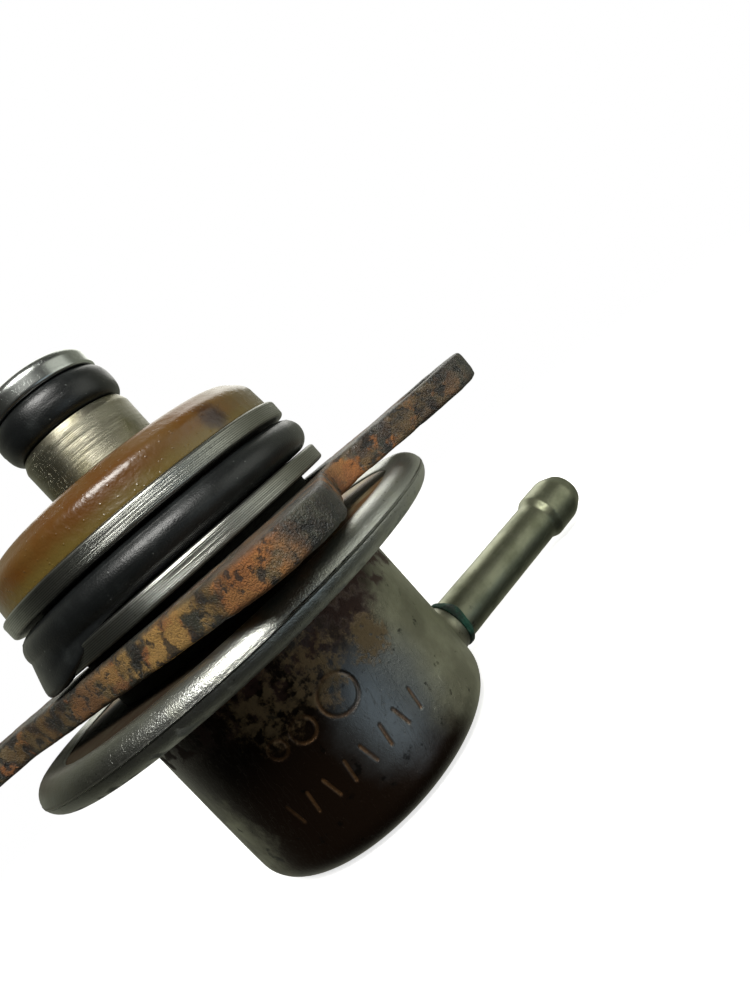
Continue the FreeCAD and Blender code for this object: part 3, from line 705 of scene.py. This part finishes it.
def coatedCloth():
    material, tree, shader = startMaterial("coatedCloth")
    weave = use(tree, specks, Spacing=0.5, Dot=0.5, Share=1.0)
    colour = mixColour(tree, weave, (0.02, 0.02, 0.02), (0.05, 0.05, 0.048))
    feed(tree, shader, colour, mixValue(tree, weave, 0.6, 0.45), height=weave, depth=0.03)
    return material


finishes = {
    "housing_steel": pressedSteel(), "nipple_steel": nippleSteel(), "braze": verdigris(),
    "turned_steel": turnedSteel(), "tube_steel": tubeSteel(), "black_rubber": blackRubber(),
    "amber_nylon": amberNylon(), "mesh_nylon": wovenNylon(), "rusted_steel": rustedSteel(),
    "coated_cloth": coatedCloth(),
    "shell_steel": shellSteel(),
    "spring_steel": plainMetal("springSteel", (0.32, 0.32, 0.31), (0.18, 0.17, 0.15), 0.3),
    "bright_steel": plainMetal("brightSteel", (0.60, 0.60, 0.59), (0.45, 0.44, 0.41), 0.18),
}
for part in frame["record"]["subparts"]:
    node = nodes[part["node"]]
    node.data.materials.clear()
    node.data.materials.append(finishes[part["material_slot"]])
print("finishes made")


# ---- spring housing
def stampMask(across, height):
    # plain struck marks: two rings and a row of short bars.  Depth falls off with distance from their lines
    half = housingShape["stampHalfWidth"]
    wall = housingShape["wall"]
    away = np.full(across.shape, 9.0)
    for angle, middle, radius in ((-98.5, 12.6, 1.75), (-114.0, 12.5, 1.1), (-124.5, 12.6, 0.85)):
        distance = np.hypot(across - radians(angle) * wall, height - middle)
        away = np.minimum(away, np.abs(distance - radius))
    for index, angle in enumerate(np.linspace(-136.0, -80.0, 8)):
        lean = radians(90 + 9 * (-1) ** index)
        u = across - radians(angle) * wall
        v = height - 7.3
        along = u * cos(lean) + v * sin(lean)
        side = u * sin(lean) - v * cos(lean)
        away = np.minimum(away, np.hypot(np.maximum(np.abs(along) - 0.95, 0), side))
    return 1 - smooth(half, 2.2 * half, away)


def housingPiece():
    # a turned wall with soft dents and struck marks, its columns closest where the marks are
    shape = housingShape
    high, outer = housingHigh[2], beadR
    low = high - 2 * shape["section"]
    sheet, wall = shape["sheet"], shape["wall"]
    inner = shape["section"] - sheet
    fold = outer - shape["section"]
    line = outline([
        (0, 0, 0, 1.6), (wall, 0, shape["corner"], 0.3), (wall, shape["markedLow"], 0, 0.12),
        (wall, shape["markedHigh"], 0, 0.5), (wall, low, 1.4, 0.35),
        (outer, low, shape["section"] * 0.999, 0.3), (outer, high, shape["section"] * 0.999, 0.3),
        (shape["lipRadius"], high - shape["lipDrop"], 0.2, 0.2), (shape["lipRadius"], high - sheet, 0.2, 0.8),
        (fold + inner, high - sheet, inner * 0.999, 0.5), (fold + inner, low + sheet, inner * 0.999, 1.5),
        (wall - sheet, low + sheet, 0.5, 2.5), (wall - sheet, sheet, shape["corner"] - sheet, 1.6),
        (0, sheet, 0, 1.6),
    ])
    start, end = shape["markedFrom"], shape["markedTo"]
    columns = np.concatenate([np.linspace(start, end, shape["fine"], endpoint=False),
                              np.linspace(end, start + 360, shape["coarse"], endpoint=False)])
    turn = np.radians(columns)
    grid = np.stack([line[:, :1] * np.cos(turn), line[:, :1] * np.sin(turn),
                     np.repeat(line[:, 1:], len(turn), axis=1)], -1)
    reach = np.hypot(grid[..., 0], grid[..., 1])
    outside = smooth(wall - 0.6, wall - 0.3, reach)
    onWall = outside * (reach < wall + 0.3)
    mask = stampMask(turn[None, :] * wall, grid[..., 2]) * onWall
    push = shape["dent"] * lumps(grid, 6.0, 3) + 0.12 * shape["dent"] * lumps(grid, 1.6, 4)
    push = push * outside * smooth(0.0, 2.0, grid[..., 2]) - shape["stampDepth"] * mask
    grid[..., :2] *= (1 + push / np.maximum(reach, 1))[..., None]
    boss = bossGrid(wall, shape["corner"])
    return [grid, boss], np.concatenate([mask.ravel(), np.zeros(boss.shape[0] * boss.shape[1])])


def bossGrid(wall, corner):
    # the drawn boss: above the wall by a height that falls with distance from the nipple's axis, as a
    # trumpet does; its underside runs back inside the wall so that it is closed
    rise = np.linspace(0, 1, 22)[:, None]
    turn = np.linspace(0, 2 * pi, 96, endpoint=False)[None, :]
    away = 2.72 + 0.30 * (1 - rise) ** 0.5 + 1.1 * (1 - rise) ** 4
    y = away * np.cos(turn)
    z = np.clip(nippleZ + away * np.sin(turn), 0.12, None)
    bend = np.clip(corner - z, 0, corner)
    wallHere = wall - corner + np.sqrt(corner ** 2 - bend ** 2)
    surface = np.sqrt(wallHere ** 2 - y ** 2)
    mouth = 16.4
    x = surface - 0.1 + (mouth - surface + 0.1) * rise
    outside = np.stack([x + 0 * y, y, z], -1)
    inside = outside[::-1].copy()
    inside[..., 1] *= 0.93
    inside[..., 2] = nippleZ + (inside[..., 2] - nippleZ) * 0.93
    inside[..., 0] -= 0.35
    return np.concatenate([outside, inside])


housingGrids, housingMask = housingPiece()
makePiece("housing", housingGrids, finishes["housing_steel"], stands=["spring_housing"],
          mask=housingMask)


# ---- vacuum nipple and its braze
nippleShape = {"tube": 2.7, "bore": 1.6, "bead": 3.15, "beadLength": 6.5, "segments": 120}


def layAlongX(grid):
    # (x, y, z) made round Z becomes (z, y, -x) round X, at the nipple's height
    return np.stack([grid[..., 2], grid[..., 1], nippleZ - grid[..., 0]], -1)


def nipplePiece():
    shape = nippleShape
    end = nippleHigh[0]
    neck = end - shape["beadLength"]
    line = outline([
        (shape["bore"], nippleLow[0], 0.2, 1.0), (shape["tube"], nippleLow[0], 0.2, 0.5),
        (shape["tube"], neck, 0.8, 0.15), (shape["bead"], neck + 0.9, 0.5, 0.2),
        (shape["bead"], end - 2.0, 2.5, 0.15), (2.25, end, 0.8, 0.12), (shape["bore"], end, 0.3, 1.0),
    ])
    grid = turnedGrid(line, shape["segments"])
    reach = np.hypot(grid[..., 0], grid[..., 1])
    push = 0.025 * lumps(grid, 3.0, 8) + 0.008 * lumps(grid, 0.9, 9)
    collar = np.exp(-((grid[..., 2] - neck - 1.2) / 0.5) ** 2) * 0.05 * lumps(grid, 1.2, 10)
    push = (push + collar) * smooth(1.8, 2.2, reach)
    grid[..., :2] *= (1 + push / reach)[..., None]
    return [layAlongX(grid)]


makePiece("nipple", nipplePiece(), finishes["nipple_steel"], stands=["vacuum_nipple"])


def brazePiece():
    # a small uneven fillet of braze round the nipple where it leaves the boss
    line = outline([(2.6, 15.9, 0, 0.3), (3.02, 16.0, 0.1, 0.1), (3.05, 16.5, 0.25, 0.08), (2.68, 17.1, 0, 0.1),
                    (2.6, 17.1, 0, 0.3)])
    grid = turnedGrid(line, 144)
    ragged = 1 + 0.25 * lumps(grid, 1.0, 12) * smooth(16.3, 17.0, grid[..., 2])
    grid[..., 2] = 15.9 + (grid[..., 2] - 15.9) * ragged
    return [layAlongX(grid)]


makePiece("nippleBraze", brazePiece(), finishes["braze"], stands=["nipple_braze"])


# ---- gland ring
def glandPiece():
    # the rims' rounds carry real tool grooves: the radius dips by a wave over the height
    shape = glandShape
    low, top = glandLow[2], glandHigh[2]
    rearTop = shape["rearLow"] + shape["rim"]
    frontLow = top - shape["rim"]
    edge = shape["break"]
    fine = shape["pitch"] / 5
    line = outline([
        (shape["bore"], low, 1.1, 1.0), (shape["collar"], low, 0.2, 1.0),
        (shape["collar"], shape["rearLow"], 0.3, 0.6), (shape["rearRim"], shape["rearLow"], edge, fine),
        (shape["rearRim"], rearTop, edge, 0.4), (shape["floor"], rearTop, 0.3, 1.0),
        (shape["floor"], frontLow, 0.3, 0.4), (shape["frontRim"], frontLow, edge, fine),
        (shape["frontRim"], top, edge, 0.4), (shape["bore"], top, 0, 2.0),
    ])
    grid = turnedGrid(line, shape["segments"])
    reach = np.hypot(grid[..., 0], grid[..., 1])
    z = grid[..., 2]
    onRim = smooth(15.9, 16.05, reach)
    depth = 0.6 + 0.4 * np.sin(z * 37.0) + 0.25 * lumps(grid * np.array([0.1, 0.1, 6.0]), 1.0, 21)
    wave = 0.5 - 0.5 * np.cos(2 * pi * z / shape["pitch"])
    push = -shape["groove"] * wave * depth * onRim
    nick = 0.03 * np.clip(lumps(grid, 0.7, 22) - 0.55, 0, 1) * onRim
    grid[..., :2] *= (1 + (push - nick) / reach)[..., None]
    return [grid]


makePiece("glandRing", glandPiece(), finishes["turned_steel"], stands=["gland_ring"])


# ---- return tube
tubeShape = {"outside": 5.8, "bore": 3.2, "recess": 4.4, "lip": 2.2, "groove": 4.1, "grooveLength": 3.6}


def tubePiece():
    shape = tubeShape
    top, low = tubeHigh[2], tubeLow[2]
    grooveTop = top - shape["lip"]
    grooveLow = grooveTop - shape["grooveLength"]
    line = outline([
        (shape["bore"], low + 3.0, 0, 0.6), (shape["recess"], low + 3.0, 0, 1.0), (shape["recess"], low, 0, 0.6),
        (shape["outside"], low, 0.3, 0.6), (shape["outside"], grooveLow - 0.8, 0.6, 0.15),
        (shape["outside"] - 0.35, grooveLow, 0.15, 0.4), (shape["groove"], grooveLow, 0.3, 0.6),
        (shape["groove"], grooveTop, 0.3, 0.4), (shape["outside"], grooveTop, 0.3, 0.12),
        (shape["outside"], top, 0.9, 0.12), (shape["bore"], top, 0.9, 1.0),
    ])
    grid = turnedGrid(line, 220)
    reach = np.hypot(grid[..., 0], grid[..., 1])
    push = 0.012 * lumps(grid, 3.0, 31) * smooth(5.0, 5.5, reach) * smooth(grooveTop, grooveLow, grid[..., 2])
    grid[..., :2] *= (1 + push / reach)[..., None]
    return [grid]


makePiece("noseTube", tubePiece(), finishes["tube_steel"], stands=["return_tube"])


# ---- seal rings
mainSealShape = {
    "segments": 360, "around": 128, "flash": 0.035,
    "swellAngle": -173.0, "swellSpread": 21.0,          # degrees round the part
    "swellLean": -17.5, "swellNear": 1.51, "swellLow": 27.45, "swellEnd": -72.0,
}


def mainSealPiece():
    # a round section carried round the groove.  On one side it has swollen out and down over the rear
    # rim: there the section is bounded by a leaning line and a level one, and a bell over the angle
    # round the part mixes that section with the round one
    shape = mainSealShape
    section = (sealHigh[2] - sealLow[2]) / 2
    middle = (sealHigh[2] + sealLow[2]) / 2
    centre = sealHigh[1] - section
    turn = np.linspace(0, 2 * pi, shape["around"], endpoint=False)[:, None]
    angle = np.linspace(0, 2 * pi, shape["segments"], endpoint=False)[None, :]
    off = (np.degrees(angle) - shape["swellAngle"] + 180) % 360 - 180
    facing = (turn + pi) % (2 * pi) - pi
    line = shape["swellNear"] / np.clip(np.cos(facing + radians(shape["swellLean"])), 0.2, None)
    level = (middle - shape["swellLow"]) / np.clip(-np.sin(facing), 0.2, None)
    bulge = (line ** -7 + level ** -7) ** (-1 / 7)
    below = smooth(0.0, -20.0, np.degrees(facing)) * smooth(shape["swellEnd"] - 12, shape["swellEnd"], np.degrees(facing))
    bulge = section + np.clip(bulge - section, 0, None) * below
    spread = shape["swellSpread"] + 10 * smooth(-45.0, -60.0, np.degrees(facing))
    share = np.exp(-np.abs(off / spread) ** 3)
    flash = shape["flash"] * np.exp(-((turn - radians(48)) / 0.05) ** 2)
    flat = np.stack(np.broadcast_arrays(np.cos(angle) * 14.0, np.sin(angle) * 14.0, 4 * turn), -1)
    size = section + (bulge - section) * share + flash + 0.02 * lumps(flat, 5.0, 41)
    r = centre + size * np.cos(turn)
    return [np.stack([r * np.cos(angle), r * np.sin(angle), middle + size * np.sin(turn)], -1)]


makePiece("mainSeal", mainSealPiece(), finishes["black_rubber"], stands=["main_o_ring"])


def noseSealPiece():
    # a section squashed flat, a little fuller on one side
    along = (noseSealHigh[2] - noseSealLow[2]) / 2
    middle = (noseSealHigh[2] + noseSealLow[2]) / 2
    outside = noseSealHigh[1]
    thick = (outside - 4.12) / 2
    turn = np.linspace(0, 2 * pi, 64, endpoint=False)[:, None]
    angle = np.linspace(0, 2 * pi, 220, endpoint=False)[None, :]
    flat = np.stack(np.broadcast_arrays(np.cos(angle) * 6.0, np.sin(angle) * 6.0, 2 * turn), -1)
    wobble = 1 + 0.03 * lumps(flat, 3.0, 51)
    square = (np.abs(np.cos(turn)) ** 2.4 + np.abs(np.sin(turn)) ** 2.4) ** (-1 / 2.4)
    r = outside - thick + thick * square * np.cos(turn) * wobble
    z = middle + along * square * np.sin(turn) * (1 + 0 * angle)
    return [np.stack([r * np.cos(angle), r * np.sin(angle), z], -1)]


makePiece("noseSeal", noseSealPiece(), finishes["black_rubber"], stands=["nose_o_ring"])


# ---- strainer
strainerShape = {"bore": 5.9, "outside": 15.5, "ribs": 8, "ribWidth": 1.1, "threadPitch": 0.55}


def strainerSlope(reach):
    # height of the strainer's sloping face over the axis distance
    return strainerHigh[2] - 1.1 * (reach - strainerShape["bore"]) / 7.7


def strainerPiece():
    # hub, rim and ribs as separate closed rings and bars that run into each other
    shape = strainerShape
    base, outside, bore = strainerLow[2], shape["outside"], shape["bore"]
    top = strainerHigh[2]
    rim = outline([
        (outside - 1.0, base, 0, 0.5), (outside, base, 0.1, 0.2), (outside - 0.25, base + 2.6, 1.5, 0.15),
        (13.6, top - 1.1, 1.7, 0.15), (12.5, strainerSlope(12.5), 0.3, 0.3), (12.5, strainerSlope(12.5) - 1.3, 0.3, 0.4),
        (outside - 1.0, base + 1.7, 0.8, 0.4),
    ])
    hub = outline([
        (bore, base, 0, 0.6), (bore + 1.3, base, 0, 0.6), (bore + 1.9, top - 1.5, 0.3, 0.3),
        (bore + 1.9, strainerSlope(bore + 1.9), 0.3, 0.3), (bore, top, 0.3, 0.6),
    ])
    grids = []
    for line in (rim, hub):
        grid = turnedGrid(line, 300)
        reach = np.hypot(grid[..., 0], grid[..., 1])
        push = 0.03 * lumps(grid, 4.0, 61) + 0.012 * lumps(grid, 0.9, 62)
        grid[..., :2] *= (1 + push * smooth(13.0, 15.0, reach) / reach)[..., None]
        grids.append(grid)
    along = np.linspace(bore + 1.5, 12.9, 12)[:, None]
    ring = np.linspace(0, 2 * pi, 24, endpoint=False)[None, :]
    boxed = (np.abs(np.cos(ring)) ** 5 + np.abs(np.sin(ring)) ** 5) ** -0.2
    across = boxed * np.cos(ring) * shape["ribWidth"] / 2 + 0 * along
    height = strainerSlope(along) - 0.62 + boxed * np.sin(ring) * 0.55
    for i in range(shape["ribs"]):
        angle = 2 * pi * i / shape["ribs"]
        x = along * cos(angle) - across * sin(angle)
        y = along * sin(angle) + across * cos(angle)
        grids.append(np.stack([x, y, height], -1))
    return grids


def strainerMeshGrid(count, crosswise):
    # woven threads on the cone under the ribs: each one waves over and under its neighbours
    shape = strainerShape
    offsets = (np.arange(count) - (count - 1) / 2) * shape["threadPitch"]
    inner, outer = shape["bore"] + 1.2, shape["outside"] - 1.2
    grids = []
    for index, offset in enumerate(offsets):
        half = sqrt(outer ** 2 - offset ** 2)
        gap = sqrt(inner ** 2 - offset ** 2) if abs(offset) < inner else 0.0
        runs = [(-half, half)] if gap == 0 else [(-half, -gap), (gap, half)]
        for start, end in runs:
            steps = max(4, ceil((end - start) / (shape["threadPitch"] / 2)))
            u = np.linspace(start, end, steps)[:, None]
            ring = np.linspace(0, 2 * pi, 5, endpoint=False)[None, :]
            reach = np.hypot(u, offset)
            wave = 0.06 * np.cos(pi * (u / shape["threadPitch"] + index)) * (1 if crosswise else -1)
            x = u + 0 * ring
            y = offset + 0.085 * np.cos(ring) + 0 * u
            z = strainerLow[2] + 2.45 - 1.2 * (reach - inner) / (outer - inner) + wave + 0.085 * np.sin(ring)
            grids.append(np.stack([y, x, z] if crosswise else [x, y, z], -1))
    return grids


makePiece("strainerFrame", strainerPiece(), finishes["amber_nylon"], stands=["strainer_frame"])
makePiece("strainerWeave", strainerMeshGrid(51, False) + strainerMeshGrid(51, True), finishes["mesh_nylon"],
          stands=["strainer_mesh"])


# ---- mounting plate
plateShape = {"cell": 0.24, "pits": 0.07}


def platePiece():
    # the cut plate again as an even skin, its surface raised and eaten by lumps of three sizes
    source = nodes["mounting_plate"].data.copy()
    work = bmesh.new()
    work.from_mesh(source)
    bmesh.ops.remove_doubles(work, verts=work.verts, dist=1e-6)
    work.to_mesh(source)
    work.free()
    carrier = bpy.data.objects.new("plateSource", source)
    bpy.context.scene.collection.objects.link(carrier)
    remesh = carrier.modifiers.new("skin", "REMESH")
    remesh.mode = "VOXEL"
    remesh.voxel_size = plateShape["cell"] * mm
    soften = carrier.modifiers.new("soften", "SMOOTH")
    soften.iterations = 8
    soften.factor = 0.5
    graph = bpy.context.evaluated_depsgraph_get()
    mesh = bpy.data.meshes.new_from_object(carrier.evaluated_get(graph))
    bpy.data.objects.remove(carrier)
    count = len(mesh.vertices)
    points, normals = np.empty(count * 3), np.empty(count * 3)
    mesh.vertices.foreach_get("co", points)
    mesh.vertices.foreach_get("normal", normals)
    points, normals = points.reshape(-1, 3) / mm, normals.reshape(-1, 3)
    relief = 0.5 * lumps(points, 3.1, 71) + 0.35 * lumps(points, 1.0, 72) + 0.15 * lumps(points, 0.45, 73)
    eaten = -0.8 * smooth(0.35, 0.75, lumps(points, 0.8, 74))
    points = points + normals * (plateShape["pits"] * (relief + eaten))[:, None]
    mesh.vertices.foreach_set("co", (points * mm).ravel())
    mesh.materials.clear()
    # the mask marks the upward faces, which the finish paints darker as painted shade
    addMask(mesh, smooth(0.15, 0.75, normals[:, 2]))
    return mesh


finishPiece("plate", platePiece(), finishes["rusted_steel"], "plate", ["mounting_plate"])


def softPiece(name, node, slot):
    # the spring and the diaphragm as pieces of their own, each with a mesh of its own
    mesh = nodes[node].data.copy()
    mesh.materials.clear()
    piece = finishPiece(name, mesh, finishes[slot], "regulator", [node])
    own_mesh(piece)


softPiece("mainSpring", "pressure_spring", "spring_steel")
softPiece("clothDisc", "diaphragm", "coated_cloth")
print("pieces made")


# ---- stage, light and camera
stageLook = {"floor": (0.86, 0.86, 0.85), "size": 0.5, "clearFrom": 0.05, "clearTo": 0.16}


def makeFloor():
    # pale near the object and fading to nothing further out; only the camera sees it
    size = stageLook["size"]
    mesh = bpy.data.meshes.new("floor")
    mesh.from_pydata([(-size, -size, 0), (size, -size, 0), (size, size, 0), (-size, size, 0)], [], [(0, 1, 2, 3)])
    floor = bpy.data.objects.new("floor", mesh)
    bpy.context.scene.collection.objects.link(floor)
    floor.location.z = -0.0002
    floor.visible_glossy = False
    floor.visible_diffuse = False
    floor.visible_shadow = False
    material = bpy.data.materials.new("floor")
    material.use_nodes = True
    tree = material.node_tree
    shader = tree.nodes["Principled BSDF"]
    shader.inputs["Base Color"].default_value = (*stageLook["floor"], 1)
    shader.inputs["Roughness"].default_value = 0.9
    shader.inputs["Emission Color"].default_value = (1, 1, 1, 1)
    shader.inputs["Emission Strength"].default_value = 0.75
    away = addNode(tree, "ShaderNodeVectorMath", {"operation": "LENGTH"}, n0=place(tree, 1.0)).outputs["Value"]
    tree.links.new(ramp(tree, away, stageLook["clearTo"], stageLook["clearFrom"]), shader.inputs["Alpha"])
    mesh.materials.append(material)


worldLook = {
    "back": (0.32, 0.33, 0.265), "front": (0.022, 0.022, 0.019), "above": (0.07, 0.07, 0.062),
    "sheen": (0.55, 0.66, 0.74), "sheenAngle": -79.0, "sheenUp": -20.0,
}


def makeWorld():
    # white to look at.  The object mirrors an olive-grey room behind it, a dark one in front, and one
    # blurred bluish light low on the right
    look = worldLook
    world = bpy.data.worlds.new("studio")
    bpy.context.scene.world = world
    world.use_nodes = True
    tree = world.node_tree
    toward = addNode(tree, "ShaderNodeTexCoord").outputs["Generated"]
    facing = addNode(tree, "ShaderNodeVectorMath", {"operation": "DOT_PRODUCT"}, n0=toward,
                     n1=around(faceAngle + 180, 1.0, 0.0)).outputs["Value"]
    colour = mixColour(tree, ramp(tree, facing, -0.15, 0.75), look["front"], look["back"])
    height = addNode(tree, "ShaderNodeSeparateXYZ", None, Vector=toward).outputs[2]
    colour = mixColour(tree, maths(tree, "MULTIPLY", ramp(tree, height, 0.5, 1.0), 0.6), colour, look["above"])
    flat, up = cos(radians(look["sheenUp"])), sin(radians(look["sheenUp"]))
    glow = addNode(tree, "ShaderNodeVectorMath", {"operation": "DOT_PRODUCT"}, n0=toward,
                   n1=around(look["sheenAngle"], flat, up)).outputs["Value"]
    colour = mixColour(tree, ramp(tree, glow, 0.93, 0.995), colour, look["sheen"])
    seen = addNode(tree, "ShaderNodeLightPath").outputs["Is Camera Ray"]
    tree.links.new(mixColour(tree, seen, colour, (1.0, 1.0, 1.0)), tree.nodes["Background"].inputs["Color"])
    tree.nodes["Background"].inputs["Strength"].default_value = 1.0


lamps = {
    "key": {"angle": -110.0, "up": 46.0, "away": 0.36, "wide": 0.20, "tall": 0.13, "power": 1.7,
            "colour": (1.0, 0.99, 0.95)},
    "side": {"angle": -40.0, "up": 4.0, "away": 0.34, "wide": 0.26, "tall": 0.26, "power": 0.25,
             "colour": (0.98, 1.0, 0.90)},
    "fill": {"angle": 60.0, "up": 35.0, "away": 0.5, "wide": 0.5, "tall": 0.4, "power": 1.2,
             "colour": (1.0, 0.99, 0.95)},
}


def addLamps():
    centre = Vector((0, 0, 0.025))
    for name, lamp in lamps.items():
        data = bpy.data.lights.new(name, "AREA")
        data.shape = "RECTANGLE"
        data.size, data.size_y = lamp["wide"], lamp["tall"]
        data.energy, data.color = lamp["power"], lamp["colour"]
        holder = bpy.data.objects.new(name, data)
        bpy.context.scene.collection.objects.link(holder)
        flat = cos(radians(lamp["up"]))
        out = Vector((flat * cos(radians(lamp["angle"])), flat * sin(radians(lamp["angle"])), sin(radians(lamp["up"]))))
        holder.location = centre + out * lamp["away"]
        holder.rotation_euler = out.to_track_quat("Z", "Y").to_euler()


cameraView = {
    "place": (-0.01601, -0.06952, 0.02891),   # metres
    "heading": 63.0,      # degrees from +X to the way it looks, seen from above
    "pitch": -6.533,      # degrees above the horizon
    "roll": 41.333,       # degrees, clockwise
    "lens": 25.2,         # on a 36 mm sensor
}


def addCamera():
    data = bpy.data.cameras.new("camera")
    camera = bpy.data.objects.new("camera", data)
    bpy.context.scene.collection.objects.link(camera)
    aim = Euler((radians(90 + cameraView["pitch"]), 0, radians(cameraView["heading"] - 90)), "XYZ")
    turn = Euler((0, 0, -radians(cameraView["roll"])), "XYZ")
    camera.matrix_world = aim.to_matrix().to_4x4() @ turn.to_matrix().to_4x4()
    camera.location = cameraView["place"]
    data.lens = cameraView["lens"]
    data.sensor_width = 36
    data.clip_start = 0.001
    bpy.context.scene.camera = camera


makeFloor()
makeWorld()
addLamps()
addCamera()
bpy.context.scene.view_settings.view_transform = "Standard"
print("stage set")
